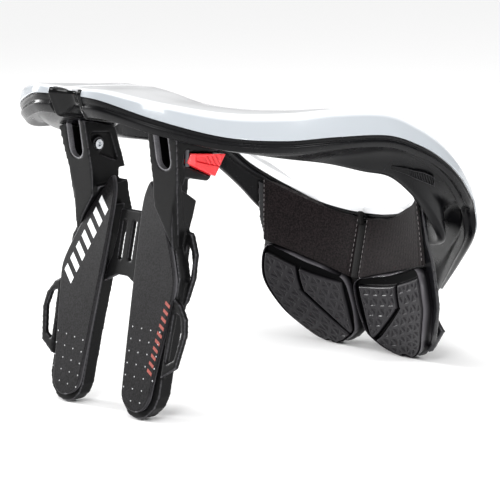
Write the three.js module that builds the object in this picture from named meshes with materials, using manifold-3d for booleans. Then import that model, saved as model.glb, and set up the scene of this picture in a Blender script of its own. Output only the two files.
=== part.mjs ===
// Motocross neck brace: a glossy two-piece collar shell over a moulded black body, two rear struts
// that end in long back wings, and a padded front that hangs on the chest.
//
// Millimetres. +X is the wearer's right, +Y the wearer's front, +Z up. The brace stands on its two
// wing tips and its two chest pads, with z = 0 at the surface below them.

import * as THREE from "three";
import { mergeVertices } from "three/addons/utils/BufferGeometryUtils.js";
import Module from "manifold-3d";

const wasm = await Module();
wasm.setup();

// Driving sizes of the collar
const collarHalfWidth = 113;
const collarLength = 340;
const collarHeight = 189;
const shellThickness = 2.4;
const shellInnerDrop = 5;
const innerLipHeight = 4;
const innerWallThickness = 6;
const flangeThickness = 8;
const saddleWidth = 28;
const saddleDepth = 4.5;
const seatGap = 0.3;

// Driving sizes of the chest part, whose width, height and place follow the collar that carries it
const chestHalfWidth = 0.6327 * collarHalfWidth;
const chestTop = 0.5926 * collarHeight;
const chestBack = 0.2324 * collarLength;
const clothThickness = 3;
const padThickness = 8;
const chestShellThickness = 3;
const chestShellWrap = 0.07;
const chestShellSink = 0.4;
const seamStripWidth = 5;
const tieWidth = 5.2;
const tieHeight = 9;

// Driving sizes of the rear struts and wings
const wingLength = 137;
const wingHalfSpan = 50;
const wingLean = 0.22;
const wingPlateThickness = 2.6;
const wingBaseThickness = 9.5;
const wingStandoff = 0.3247 * collarLength;
const wingRefHeight = 80;
const armWidth = 23;
const armInner = 26.6;
const slotWidth = 12;
const slotDepth = 14;
const slotBottom = 0.762 * collarHeight;
const lobeReach = 7;
const bridgeThickness = 3.4;
const bridgeSlotWidth = 3;
const bridgeInset = 4.4;
const loopDepth = 3.4;
const chestLoopDepth = 4;

// Driving sizes of the release tab and the bolt
const tabThickness = 3.6;
const tabProud = 1.4;
const pinRadius = 1.3;
const pinClearance = 0.35;
const boltHeadRadius = 2.9;
const boltHeadHeight = 2.2;
const boltSocketRadius = 1.6;
const framePocketDepth = 2.6;
const cutterReach = 40;

// Finishes
const finish = {
  shell: { color: 0xeef1f3, roughness: 0.16, metalness: 0 },
  body: { color: 0x151416, roughness: 0.42, metalness: 0 },
  saddle: { color: 0x1b1a1c, roughness: 0.3, metalness: 0 },
  plate: { color: 0x3b3a3c, roughness: 0.7, metalness: 0 },
  arm: { color: 0x242326, roughness: 0.6, metalness: 0 },
  tab: { color: 0xff3c3f, roughness: 0.4, metalness: 0 },
  steel: { color: 0xb9bcc0, roughness: 0.3, metalness: 1 },
  cloth: { color: 0x231d1e, roughness: 0.95, metalness: 0 },
  rubber: { color: 0x2b292c, roughness: 0.55, metalness: 0 },
};

const brace = new THREE.Group();
const v3 = (x, y, z) => new THREE.Vector3(x, y, z);
const lerp = THREE.MathUtils.lerp;

// One row of numbers interpolated at t between 0 and 1 along a table, by a Catmull-Rom spline
function sample(table, t) {
  const last = table.length - 1;
  const at = Math.min(Math.max(t, 0), 1) * last;
  const k = Math.min(Math.floor(at), last - 1);
  const f = at - k;
  const rows = [-1, 0, 1, 2].map((step) => table[Math.min(Math.max(k + step, 0), last)]);
  return table[0].map((_, column) => {
    const [a, b, c, d] = rows.map((row) => row[column]);
    return 0.5 * (2 * b + (c - a) * f + (2 * a - 5 * b + 4 * c - d) * f * f + (3 * b - a - 3 * c + d) * f ** 3);
  });
}

// A closed body from points and triangles, turned so that its faces point out
function body(points, triangles) {
  let volume = 0;
  for (const [a, b, c] of triangles) {
    volume += points[a].dot(v3().crossVectors(points[b], points[c]));
  }
  const wound = volume < 0 ? triangles.map(([a, b, c]) => [a, c, b]) : triangles;
  const geometry = new THREE.BufferGeometry();
  geometry.setFromPoints(points);
  geometry.setIndex(wound.flat());
  return geometry;
}

// A skin through closed rings of equal length, with both ends capped
function loft(rings) {
  const count = rings[0].length;
  const triangles = [];
  for (let r = 0; r + 1 < rings.length; r += 1) {
    for (let k = 0; k < count; k += 1) {
      const next = (k + 1) % count;
      const [a, b, c, d] = [r * count + k, r * count + next, (r + 1) * count + next, (r + 1) * count + k];
      triangles.push([a, b, c], [a, c, d]);
    }
  }
  const cap = (ring, offset, flip) => {
    const centre = ring.reduce((sum, p) => sum.add(p), v3()).divideScalar(count);
    const normal = v3();
    ring.forEach((p, k) => {
      const next = ring[(k + 1) % count];
      normal.add(v3().crossVectors(p.clone().sub(centre), next.clone().sub(centre)));
    });
    normal.normalize();
    const across = ring[0].clone().sub(centre).projectOnPlane(normal).normalize();
    const up = v3().crossVectors(normal, across);
    const arms = ring.map((p) => p.clone().sub(centre));
    const flat = arms.map((arm) => new THREE.Vector2(arm.dot(across), arm.dot(up)));
    for (const [a, b, c] of THREE.ShapeUtils.triangulateShape(flat, [])) {
      triangles.push(flip ? [offset + a, offset + c, offset + b] : [offset + a, offset + b, offset + c]);
    }
  };
  cap(rings[0], 0, true);
  cap(rings[rings.length - 1], (rings.length - 1) * count, false);
  return body(rings.flat(), triangles);
}

// A sheet between two equal grids of points: rows of columns
function sheet(back, front) {
  const rings = back.map((row, r) => [...row, ...[...front[r]].reverse()]);
  return loft(rings);
}

// A flat outline of [x, z] pairs, extruded along +Y by depth
function slab(outline, depth) {
  const shape = new THREE.Shape(outline.map(([x, z]) => new THREE.Vector2(x, z)));
  const geometry = new THREE.ExtrudeGeometry(shape, { depth, bevelEnabled: false });
  geometry.rotateX(Math.PI / 2);
  geometry.translate(0, depth, 0);
  return geometry;
}

// A flat outline of [y, z] pairs, extruded along +X by depth
function sideSlab(outline, depth) {
  const shape = new THREE.Shape(outline.map(([y, z]) => new THREE.Vector2(y, z)));
  const geometry = new THREE.ExtrudeGeometry(shape, { depth, bevelEnabled: false });
  geometry.rotateX(Math.PI / 2);
  geometry.rotateZ(Math.PI / 2);
  return geometry;
}

// Leans a slab of the wing: every point moves back as it goes down, and the slab starts at inset
function lean(geometry, inset) {
  const place = geometry.attributes.position;
  for (let k = 0; k < place.count; k += 1) {
    place.setY(k, place.getY(k) + wingPlane(place.getZ(k)) + inset);
  }
  return geometry;
}

const wingPlane = (z) => -wingStandoff + wingLean * (z - wingRefHeight);

// Closed geometry to solid and back
function solidOf(geometry) {
  const bare = geometry.clone();
  bare.deleteAttribute("normal");
  bare.deleteAttribute("uv");
  const merged = mergeVertices(bare, 1e-4);
  const mesh = new wasm.Mesh({
    numProp: 3,
    vertProperties: new Float32Array(merged.attributes.position.array),
    triVerts: new Uint32Array(merged.index.array),
  });
  return new wasm.Manifold(mesh);
}

// Points closer than meshGrain become one on the way back, and faces that vanish go
const meshGrain = 0.01;

function geometryOf(solid) {
  const mesh = solid.getMesh();
  const loose = new THREE.BufferGeometry();
  loose.setAttribute("position", new THREE.BufferAttribute(new Float32Array(mesh.vertProperties), 3));
  loose.setIndex(new THREE.BufferAttribute(new Uint32Array(mesh.triVerts), 1));
  const geometry = mergeVertices(loose, meshGrain);
  const kept = [];
  for (let k = 0; k < geometry.index.count; k += 3) {
    const [a, b, c] = geometry.index.array.slice(k, k + 3);
    if (a !== b && b !== c && c !== a) kept.push(a, b, c);
  }
  geometry.setIndex(kept);
  return geometry;
}

function cut(geometry, ...tools) {
  return geometryOf(tools.reduce((solid, tool) => solid.subtract(solidOf(tool)), solidOf(geometry)));
}

function join(geometry, ...others) {
  return geometryOf(others.reduce((solid, other) => solid.add(solidOf(other)), solidOf(geometry)));
}

function boxAt([x0, x1], [y0, y1], [z0, z1]) {
  const geometry = new THREE.BoxGeometry(x1 - x0, y1 - y0, z1 - z0);
  geometry.translate((x0 + x1) / 2, (y0 + y1) / 2, (z0 + z1) / 2);
  return geometry;
}

// The same body on the wearer's left
function mirrored(geometry) {
  const other = geometry.clone();
  other.deleteAttribute("normal");
  other.deleteAttribute("uv");
  const merged = mergeVertices(other, 1e-4);
  merged.scale(-1, 1, 1);
  const turned = merged.index.array.slice();
  for (let k = 0; k < turned.length; k += 3) {
    [turned[k], turned[k + 1]] = [turned[k + 1], turned[k]];
  }
  merged.setIndex(new THREE.BufferAttribute(turned, 1));
  return merged;
}

function place(name, geometry, look) {
  const mesh = new THREE.Mesh(geometry, new THREE.MeshStandardMaterial(look));
  mesh.name = name;
  brace.add(mesh);
}

function placePair(name, geometry, look) {
  place(`${name}_right`, geometry, look);
  place(`${name}_left`, mirrored(geometry), look);
}

// Collar
// Each row is a section of the right half, from the saddle at the back to the front centre.
// x columns are shares of collarHalfWidth, y columns of collarLength, z columns, lip, band and dish
// of collarHeight, flangeThickness being the wall that the dish leaves.
// columns: rim x, y, z; inner edge x, y, z; low edge x, y, z; lip height; band height; dish
const saddleShare = saddleWidth / 2 / collarHalfWidth;
const partingShare = seatGap / 2 / collarHalfWidth;
const collarSections = [
  [saddleShare, -0.438, 0.992, saddleShare, -0.268, 1.0, saddleShare, -0.253, 0.878, 0.021, 0.066, 0],
  [0.274, -0.434, 0.984, 0.230, -0.259, 0.987, 0.221, -0.244, 0.868, 0.029, 0.062, 0],
  [0.531, -0.391, 0.934, 0.389, -0.232, 0.955, 0.381, -0.218, 0.831, 0.045, 0.053, 0],
  [0.752, -0.310, 0.883, 0.513, -0.179, 0.937, 0.504, -0.168, 0.802, 0.061, 0.045, 0],
  [0.894, -0.216, 0.864, 0.602, -0.112, 0.926, 0.597, -0.106, 0.778, 0.071, 0.042, 0],
  [0.965, -0.115, 0.864, 0.659, -0.035, 0.915, 0.664, -0.032, 0.754, 0.074, 0.042, 0.15],
  [1.0, 0.0, 0.853, 0.686, 0.041, 0.878, 0.704, 0.038, 0.720, 0.069, 0.041, 0.4],
  [0.991, 0.088, 0.808, 0.681, 0.106, 0.808, 0.717, 0.106, 0.690, 0.058, 0.036, 0.7],
  [0.965, 0.162, 0.750, 0.646, 0.162, 0.732, 0.720, 0.165, 0.622, 0.050, 0.032, 1],
  [0.920, 0.229, 0.679, 0.615, 0.203, 0.670, 0.704, 0.212, 0.548, 0.042, 0.030, 1],
  [0.850, 0.288, 0.604, 0.566, 0.241, 0.622, 0.673, 0.259, 0.460, 0.042, 0.030, 1],
  [0.796, 0.321, 0.560, 0.460, 0.274, 0.574, 0.584, 0.288, 0.423, 0.042, 0.030, 1],
  [0.743, 0.347, 0.466, 0.336, 0.294, 0.537, 0.442, 0.309, 0.407, 0.040, 0.030, 1],
  [0.398, 0.447, 0.333, 0.159, 0.306, 0.516, 0.230, 0.324, 0.397, 0.038, 0.034, 1],
  [partingShare, 0.556, 0.198, partingShare, 0.309, 0.511, partingShare, 0.329, 0.394, 0.036, 0.040, 1],
];
const collarSteps = 30;

// The named places of the collar's section at t, from 0 at the saddle to 1 at the front centre
function collarSection(t) {
  const [bx, by, bz, tx, ty, tz, lx, ly, lz, lip, band, dish] = sample(collarSections, t);
  const rim = v3(bx * collarHalfWidth, by * collarLength, bz * collarHeight);
  const inner = v3(tx * collarHalfWidth, ty * collarLength, tz * collarHeight);
  const low = v3(lx * collarHalfWidth, ly * collarLength, lz * collarHeight);
  const out = rim.clone().sub(inner).setZ(0).normalize();
  return { rim, inner, low, out, lip: lip * collarHeight, band: band * collarHeight, dish };
}

// A point moved outward by o and up by u
const shifted = (p, out, o, u) => p.clone().addScaledVector(out, o).add(v3(0, 0, u));

// The shell's outer line, from the bottom of the lip over the top to the inner edge
function shellLine(s, depth) {
  const crease = shifted(s.rim, s.out, -0.25 * s.lip, s.lip);
  const shoulder = crease.clone().lerp(s.inner, 0.07);
  shoulder.z += 0.12 * s.lip;
  const top = crease.clone().lerp(s.inner, 0.55);
  top.z += 0.16 * s.lip;
  const foot = shifted(s.inner, s.out, -0.6, -shellInnerDrop);
  return [
    shifted(s.rim, s.out, -depth, 0),
    shifted(crease, s.out, -depth, -depth * 0.3),
    shifted(shoulder, s.out, -depth * 0.6, -depth),
    shifted(top, s.out, 0, -depth),
    shifted(s.inner, s.out, depth * 1.2, -depth),
    shifted(foot, s.out, depth, 0),
  ];
}

function shellRing(t) {
  const s = collarSection(t);
  return [...shellLine(s, 0), ...shellLine(s, shellThickness).reverse()];
}

// The body's line under the shell, and down round the outer band, the underside and the inner wall
function bodyRing(t) {
  const s = collarSection(t);
  const under = shellLine(s, shellThickness / 2);
  const bandTop = shifted(s.rim, s.out, -0.7, -seatGap);
  const bandLow = shifted(s.rim, s.out, -0.35 * s.band - 1.2, -s.band);
  const foot = shifted(s.inner, s.out, -0.6, -shellInnerDrop - seatGap);
  const lipLow = shifted(foot, s.out, 0.2, -innerLipHeight);
  const recess = s.dish * (clothThickness + chestShellThickness + 3 * seatGap);
  const wallTop = shifted(lipLow, s.out, recess, -0.4 * innerLipHeight);
  const wallFoot = shifted(s.low, s.out, innerWallThickness, 0);
  const flatA = bandLow.clone().lerp(wallFoot, 0.3);
  const flatB = bandLow.clone().lerp(wallFoot, 0.8);
  const dishA = shifted(under[2].clone().lerp(under[4], 0.12), s.out, 0, -flangeThickness);
  const dishB = under[3].clone().lerp(wallTop, 0.45);
  dishB.addScaledVector(s.out, innerWallThickness).add(v3(0, 0, -0.4 * flangeThickness));
  return [
    ...under,
    foot,
    lipLow,
    wallTop,
    s.low.clone(),
    wallFoot,
    flatB.lerp(dishB, s.dish),
    flatA.lerp(dishA, s.dish),
    bandLow,
    bandTop,
  ];
}

// The room that the shell takes in the body, with its seat gap all round
function shellRoomRing(t) {
  const s = collarSection(t);
  const outside = shellLine(s, -shellThickness);
  const inside = shellLine(s, shellThickness + seatGap).reverse();
  outside[0].z -= seatGap;
  inside[inside.length - 1].z -= seatGap;
  outside[outside.length - 1].z -= seatGap;
  inside[0].z -= seatGap;
  return [...outside, ...inside];
}

function collarLoft(ringAt) {
  return loft(Array.from({ length: collarSteps + 1 }, (_, k) => ringAt(k / collarSteps)));
}

// On top each shell runs on to the parting line at the back, without its lip, over the saddle
function shellTopRing(x) {
  const s = collarSection(0);
  const ring = [...shellLine(s, 0).slice(2), ...shellLine(s, shellThickness).slice(2).reverse()];
  return ring.map((p) => v3(x, p.y, p.z));
}

const shellTail = loft([shellTopRing(seatGap / 2), shellTopRing(saddleWidth / 2)]);
const collarShell = join(collarLoft(shellRing), shellTail);
placePair("collar_shell", collarShell, finish.shell);

// The saddle that joins the halves at the back: their end section, with its rim hollowed towards the
// middle and its top sunk below the shells
function saddleRing(x) {
  const s = collarSection(0);
  const half = saddleWidth / 2;
  const hollow = saddleDepth * Math.cos((Math.PI / 2) * (x / half)) ** 2;
  const line = [...shellLine(s, hollow).slice(0, 2), ...shellLine(s, shellThickness + seatGap).slice(2)];
  const bandLow = shifted(s.rim, s.out, -0.35 * s.band - 1.2 - hollow * 0.5, -s.band + hollow);
  const wallFoot = shifted(s.low, s.out, innerWallThickness, hollow * 0.5);
  const ring = [...line, shifted(s.low, s.out, hollow * 0.5, 0), wallFoot, bandLow];
  return ring.map((p) => v3(x, p.y, p.z));
}

const saddleReach = saddleWidth / 2 - seatGap;
const saddleSteps = [-1, -0.86, -0.6, -0.3, 0, 0.3, 0.6, 0.86, 1];
place("back_saddle", loft(saddleSteps.map((step) => saddleRing(step * saddleReach))), finish.saddle);

// Chest part
// Each row is a level of the right half, from the top down; every place is on the face that
// touches the chest. x columns are shares of chestHalfWidth, y columns of chestBack beyond the neck's
// centre, z columns of chestTop, and bow is how far the middle of the row stands forward, of chestBack.
// columns: inner x, y, z; outer x, y, z; bow; sag of the middle
const clothLevels = [
  [0.042, 1.310, 0.790, 0.930, 0.995, 0.990, 0.100, -0.050],
  [0.042, 1.278, 0.680, 0.948, 1.010, 0.865, 0.080, -0.035],
  [0.042, 1.240, 0.560, 0.965, 1.024, 0.735, 0.055, -0.015],
  [0.042, 1.205, 0.447, 0.978, 1.038, 0.612, 0.030, 0],
];
const padLevels = [
  [0.036, 1.154, 0.436, 0.968, 1.018, 0.600, 0.030, 0],
  [0.022, 1.190, 0.357, 1.000, 1.032, 0.446, 0.030, 0],
  [0.017, 1.233, 0.268, 0.994, 1.062, 0.357, 0.035, 0],
  [0.032, 1.275, 0.179, 0.937, 1.114, 0.268, 0.035, 0],
  [0.070, 1.313, 0.107, 0.860, 1.186, 0.179, 0.030, 0],
  [0.200, 1.350, 0.045, 0.748, 1.295, 0.089, 0.020, 0],
  [0.320, 1.380, 0.012, 0.640, 1.365, 0.030, 0.010, 0],
  [0.420, 1.405, 0, 0.520, 1.405, 0, 0, 0],
];

// The chest face of a level at u, from 0 at the inner edge to 1 at the outer, pushed forward by depth
function chestPoint([ix, iy, iz, ox, oy, oz, bow, sag], u, depth) {
  const arc = 4 * u * (1 - u);
  const x = lerp(ix, ox, u) * chestHalfWidth;
  const y = (lerp(iy, oy, u) + bow * arc) * chestBack;
  const z = (lerp(iz, oz, u) + sag * arc) * chestTop;
  return v3(x, y + depth, z);
}

// A sheet on those faces: levels down the rows, u from from to to across them, between two depths
function chestSheet(levels, columns, near, far, from = 0, to = 1) {
  const grid = (depths) =>
    levels.map((level, row) => {
      const us = Array.from({ length: columns + 1 }, (_, k) => lerp(from, to, k / columns));
      return us.map((u) => chestPoint(level, u, Array.isArray(depths) ? depths[row] : depths));
    });
  return sheet(grid(near), grid(far));
}

const clothLiner = chestSheet(clothLevels, 8, 0, clothThickness);
placePair("cloth_liner", clothLiner, finish.cloth);
placePair("chest_pad", chestSheet(padLevels, 8, 0, padThickness), finish.rubber);

// The plastic chest shell follows the front of the liner and of the pad, and carries the strap loop
const shellTop = clothLevels[0].map((value, column) => lerp(value, clothLevels[1][column], chestShellSink));
const overCloth = [shellTop, clothLevels[1], clothLevels[2]];
const shellLevels = [...overCloth, ...padLevels.slice(0, -2)];
const thicknessAt = (row) => (row < overCloth.length ? clothThickness : padThickness);
const shellNear = shellLevels.map((_, row) => seatGap + thicknessAt(row));
const shellFar = shellNear.map((depth) => depth + chestShellThickness);
const chestShellPlain = chestSheet(shellLevels, 8, shellNear, shellFar, 0, 1 + chestShellWrap);
const padRoom = chestSheet(padLevels, 8, -padThickness, padThickness + seatGap, -0.02, 1.02);

// Outline [x, z] of the chest strap loop and of its window, as shares of chestHalfWidth and chestTop
const chestLoopOutline = [
  [0.68, 0.34], [0.8, 0.28], [0.9, 0.19], [0.775, 0.061], [0.65, 0.066], [0.58, 0.13],
];
const chestLoopWindow = [
  [0.73, 0.262], [0.8, 0.221], [0.835, 0.19], [0.76, 0.104], [0.69, 0.111],
];
const chestLoopPlane = 1.367 * chestBack;
const chestLoopTurn = 0.12;
const chestLoopCentre = 0.8 * chestHalfWidth;

function chestLoopSlab(outline, from, to) {
  const sized = outline.map(([x, z]) => [x * chestHalfWidth, z * chestTop]);
  const geometry = slab(sized, to - from);
  const place = geometry.attributes.position;
  for (let k = 0; k < place.count; k += 1) {
    const turn = chestLoopTurn * (place.getX(k) - chestLoopCentre);
    place.setY(k, place.getY(k) + chestLoopPlane + from + turn);
  }
  return geometry;
}

const chestLoop = cut(
  chestLoopSlab(chestLoopOutline, 0, chestLoopDepth),
  chestLoopSlab(chestLoopWindow, -chestLoopDepth, 2 * chestLoopDepth),
);
placePair("chest_shell", join(chestShellPlain, cut(chestLoop, padRoom)), finish.body);

// The collar body is relieved for the shell above it and for the liner and chest shell below its lip
const chestRoomDepth = clothThickness + chestShellThickness + 3 * seatGap;
const chestRoom = chestSheet(clothLevels, 8, -2 * clothThickness, chestRoomDepth, -0.05, 1.1);
chestRoom.translate(0, 0, seatGap);
const clothRoom = clothLiner.clone().translate(0, 0, seatGap);
const sunkShell = collarShell.clone().translate(0, 0, -seatGap);
const shellRoom = join(collarLoft(shellRoomRing), collarShell, sunkShell);
const collarBody = cut(collarLoft(bodyRing), shellRoom, join(chestRoom, clothRoom));
placePair("collar_body", collarBody, finish.body);

// The seam strip between the liners, and the tie that closes the seam under the collar's lip
const seamHalf = seamStripWidth / 2 - seatGap;
const seamRing = (level, top) => {
  const near = chestPoint(level, 0, 0);
  const z = Math.min(near.z, top);
  const corners = [[-1, 0], [1, 0], [1, clothThickness], [-1, clothThickness]];
  return corners.map(([x, y]) => v3(x * seamHalf, near.y + y, z));
};
const tieFoot = chestPoint(clothLevels[0], 0, 0);
const seamTop = tieFoot.z - tieHeight / 2 - seatGap;
place("seam_strip", loft(clothLevels.map((level) => seamRing(level, seamTop))), finish.saddle);
const tieBlock = boxAt(
  [-tieWidth / 2, tieWidth / 2],
  [tieFoot.y - seatGap - clothThickness, tieFoot.y - seatGap],
  [tieFoot.z - tieHeight / 2, tieFoot.z + tieHeight / 2],
);
place("seam_tie", tieBlock, finish.saddle);

// Rear wings
// Outline [x, z] of the right plate: shares of wingHalfSpan and wingLength
const plateOutline = [
  [0.332, 1.0], [0.254, 0.927], [0.246, 0.861], [0.262, 0.73], [0.284, 0.584], [0.334, 0.292],
  [0.376, 0.088], [0.44, 0.055], [0.55, 0.035], [0.67, 0.031], [0.77, 0.047], [0.848, 0.088],
  [0.86, 0.146], [0.906, 0.292], [0.958, 0.438], [1.0, 0.58], [0.914, 0.657], [0.816, 0.73],
  [0.704, 0.803], [0.568, 0.876], [0.47, 0.927],
];
// Outline [x, z] of the base behind it, in the same shares
const baseOutline = [
  [0.3, 0.86], [0.27, 0.73], [0.29, 0.584], [0.34, 0.292], [0.36, 0.088], [0.4, 0.044], [0.5, 0.011],
  [0.636, 0], [0.77, 0.011], [0.91, 0.058], [0.96, 0.11], [0.96, 0.22], [0.98, 0.365], [1.0, 0.51],
  [1.0, 0.6], [0.9, 0.69], [0.8, 0.76], [0.58, 0.87],
];
// Outlines of the strap loops on the base's outer edge, and of their windows
const lowLoopOutline = [
  [0.94, 0.53], [1.1, 0.5], [1.22, 0.445], [1.255, 0.38], [1.18, 0.24], [0.96, 0.19],
];
const lowLoopWindow = [
  [1.03, 0.47], [1.13, 0.452], [1.185, 0.385], [1.13, 0.275], [1.01, 0.25],
];
const highLoopOutline = [
  [0.84, 0.79], [0.96, 0.78], [1.08, 0.7], [1.1, 0.6], [1.04, 0.5], [0.9, 0.44],
];
const highLoopWindow = [
  [0.92, 0.745], [0.99, 0.71], [1.035, 0.668], [1.045, 0.6], [0.995, 0.53], [0.92, 0.545],
];

const wingSized = (outline) => outline.map(([x, z]) => [x * wingHalfSpan, z * wingLength]);
const wingSlab = (outline, inset, depth) => lean(slab(wingSized(outline), depth), inset);
const basePlane = wingPlateThickness + seatGap;

const wingPlate = wingSlab(plateOutline, 0, wingPlateThickness);
placePair("wing_plate", wingPlate, finish.plate);

// Rear struts: side views [y, z], as shares of wingStandoff and collarHeight
// armFaces columns: height z as a share of collarHeight; inner and outer x beyond armInner, of armWidth
const armFaces = [
  [0.3175, 0.043, 0.652],
  [0.5185, 0.017, 0.67],
  [0.6614, 0, 0.72],
  [0.7196, -0.009, 0.86],
  [0.746, -0.013, 0.98],
  [0.7937, -0.017, 1.05],
  [0.9206, 0.043, 1.12],
];
const armProfile = [
  [-1.0091, 0.9101], [-0.9783, 0.7937], [-0.9601, 0.7302], [-0.9538, 0.6614], [-0.9583, 0.5820],
  [-0.9475, 0.5185], [-0.9058, 0.4444], [-0.8877, 0.3492], [-0.8333, 0.3492], [-0.8569, 0.4444],
  [-0.8569, 0.5185], [-0.8207, 0.5820], [-0.7817, 0.6614], [-0.9094, 0.7037], [-0.9094, 0.7407],
  [-0.7310, 0.7196], [-0.7083, 0.7381], [-0.6884, 0.8360],
];
const armBackPoints = 9;
// The inner third of the arm has a shallow notch only, and a lobe stands on its lower half
const armInnerProfile = [
  ...armProfile.slice(0, armBackPoints),
  [-0.8569, 0.4444], [-0.8152, 0.5185], [-0.7790, 0.5820], [-0.7645, 0.6455], [-0.7627, 0.7275],
  [-0.7156, 0.7265], [-0.7790, 0.8571],
];
const lobeProfile = [
  [-0.9330, 0.6772], [-0.9420, 0.5185], [-0.9058, 0.4444], [-0.8514, 0.4444], [-0.7428, 0.5503],
  [-0.7201, 0.5926], [-0.7428, 0.6455], [-0.7536, 0.6931],
];
const armSplit = 0.38;
const lobeRoot = 2;

const sideSized = (outline) => outline.map(([y, z]) => [y * wingStandoff, z * collarHeight]);

function facesAt(z) {
  const above = armFaces.findIndex((row) => row[0] * collarHeight >= z);
  const upper = Math.max(above, 1);
  const [a, b] = [armFaces[upper - 1], armFaces[upper]];
  const f = (z / collarHeight - a[0]) / (b[0] - a[0]);
  return [1, 2].map((column) => armInner + armWidth * lerp(a[column], b[column], f));
}

const sidePart = (profile, fromAt, toAt) =>
  loft([fromAt, toAt].map((at) => sideSized(profile).map(([y, z]) => v3(at(z), y, z))));
const shareAt = (share) => (z) => lerp(...facesAt(z), share);
const armLoft = join(
  sidePart(armProfile, shareAt(armSplit), shareAt(1)),
  sidePart(armInnerProfile, shareAt(0), shareAt(armSplit)),
  sidePart(lobeProfile, () => armInner - lobeReach, () => armInner + lobeRoot),
);
const slotLeft = armInner + (armWidth - slotWidth) / 2;
const slotBack = -armProfile[0][0] * wingStandoff;
const slotRound = new THREE.CylinderGeometry(slotWidth / 2, slotWidth / 2, slotDepth * 2, 14);
slotRound.translate(slotLeft + slotWidth / 2, -slotBack, slotBottom + slotWidth / 2);
const slotBox = boxAt(
  [slotLeft, slotLeft + slotWidth],
  [-slotBack - slotDepth, -slotBack + slotDepth],
  [slotBottom + slotWidth / 2, collarHeight],
);

// The framed pocket on the inner side, with the boss that holds the bolt
const framePocket = sideSized([
  [-0.9601, 0.8466], [-0.8197, 0.8413], [-0.7699, 0.7487], [-0.8877, 0.7751], [-0.9475, 0.7937],
]);
const bolt = { y: -0.9004 * wingStandoff, z: 0.8074 * collarHeight };
const boltBossWall = 1.6;
const pocketSlab = sideSlab(framePocket, framePocketDepth * 2).translate(armInner - framePocketDepth, 0, 0);
const disc = (radius, x0, x1, sides) => {
  const geometry = new THREE.CylinderGeometry(radius, radius, x1 - x0, sides);
  geometry.rotateZ(Math.PI / 2);
  geometry.translate((x0 + x1) / 2, bolt.y, bolt.z);
  return geometry;
};
const pocketRing = cut(
  pocketSlab,
  disc(boltHeadRadius + boltBossWall, armInner - boltHeadRadius, armInner + boltHeadRadius, 20),
);
const boltRoomEnd = armInner + boltHeadHeight + seatGap;
const boltRoom = disc(boltHeadRadius + seatGap, armInner - boltHeadRadius, boltRoomEnd, 20);
const boltHead = disc(boltHeadRadius, armInner, armInner + boltHeadHeight, 20);
const boltSocket = disc(boltSocketRadius, armInner - boltHeadHeight, armInner + boltHeadHeight / 2, 6);

// The release tab: its outline [y, z], the pocket it lies in, and the pin at its rear end
const tabOutline = sideSized([
  [-0.8931, 0.8159], [-0.6522, 0.8021], [-0.7283, 0.7376], [-0.9194, 0.7862],
]);
const tabInner = armInner + 0.9 * armWidth;
const tabOuter = tabInner + tabThickness + tabProud;
const pin = { x: tabInner + tabThickness / 2, y: tabOutline[3][0] + tabThickness / 2 };
const knuckle = new THREE.CylinderGeometry(tabThickness / 2, tabThickness / 2, cutterReach, 16);
knuckle.rotateX(Math.PI / 2);
knuckle.translate(pin.x, pin.y, tabOutline[0][1]);
const tabPlan = new THREE.Shape([
  new THREE.Vector2(tabInner, pin.y),
  new THREE.Vector2(pin.x + tabThickness / 2, pin.y),
  new THREE.Vector2(tabOuter, pin.y + tabThickness),
  new THREE.Vector2(tabOuter, tabOutline[1][0] + tabThickness),
  new THREE.Vector2(tabInner, tabOutline[1][0] + tabThickness),
]);
const tabPrism = new THREE.ExtrudeGeometry(tabPlan, { depth: cutterReach, bevelEnabled: false });
tabPrism.translate(0, 0, tabOutline[0][1] - cutterReach / 2);
const tabBlank = sideSlab(tabOutline, slotWidth).translate(tabInner - slotWidth / 4, 0, 0);
const tabBody = geometryOf(solidOf(tabBlank).intersect(solidOf(join(tabPrism, knuckle))));
const pinOverhang = 2;
const pinFoot = tabOutline[3][1] - pinOverhang;
const pinHead = tabOutline[0][1] + pinOverhang;
const pinRod = (radius, z0, z1) => {
  const geometry = new THREE.CylinderGeometry(radius, radius, z1 - z0, 12);
  geometry.rotateX(Math.PI / 2);
  geometry.translate(pin.x, pin.y, (z0 + z1) / 2);
  return geometry;
};
const tabRoomOutline = sideSized([
  [-0.9275, 0.8212], [-0.6159, 0.8085], [-0.7065, 0.7302], [-0.9275, 0.7810],
]);
const tabRoom = sideSlab(tabRoomOutline, slotWidth).translate(tabInner - pinClearance, 0, 0);

const pinBore = pinRod(pinRadius + pinClearance, pinFoot - pinOverhang, pinHead + pinOverhang);
placePair("release_tab", cut(tabBody, pinBore), finish.tab);
placePair("release_pin", pinRod(pinRadius, pinFoot, pinHead), finish.steel);

// The strut is one moulding: arm, wing base and strap loops
const plateRoom = wingSlab(plateOutline, -wingBaseThickness, basePlane + wingBaseThickness - meshGrain);
const wingBase = wingSlab(baseOutline, basePlane, wingBaseThickness);
const plateEdgeRoom = wingPlate.clone().translate(seatGap, 0, 0);
const lowLoop = cut(
  wingSlab(lowLoopOutline, basePlane - loopDepth / 2, loopDepth),
  wingSlab(lowLoopWindow, -loopDepth, wingBaseThickness * 3),
  wingPlate,
  plateEdgeRoom,
);
const highLoop = cut(
  wingSlab(highLoopOutline, basePlane + wingBaseThickness - loopDepth, loopDepth),
  wingSlab(highLoopWindow, 0, wingBaseThickness * 3),
);
const sunkBody = collarBody.clone().translate(0, 0, -seatGap);
const armCut = cut(
  armLoft, slotBox, slotRound, pocketRing, boltRoom, tabRoom,
  pinRod(pinRadius + pinClearance, pinFoot - seatGap, pinHead + seatGap), plateRoom, collarBody, sunkBody,
);
placePair("rear_strut", join(armCut, wingBase, lowLoop, highLoop), finish.arm);
placePair("strut_bolt", cut(boltHead, boltSocket), finish.steel);

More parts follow.
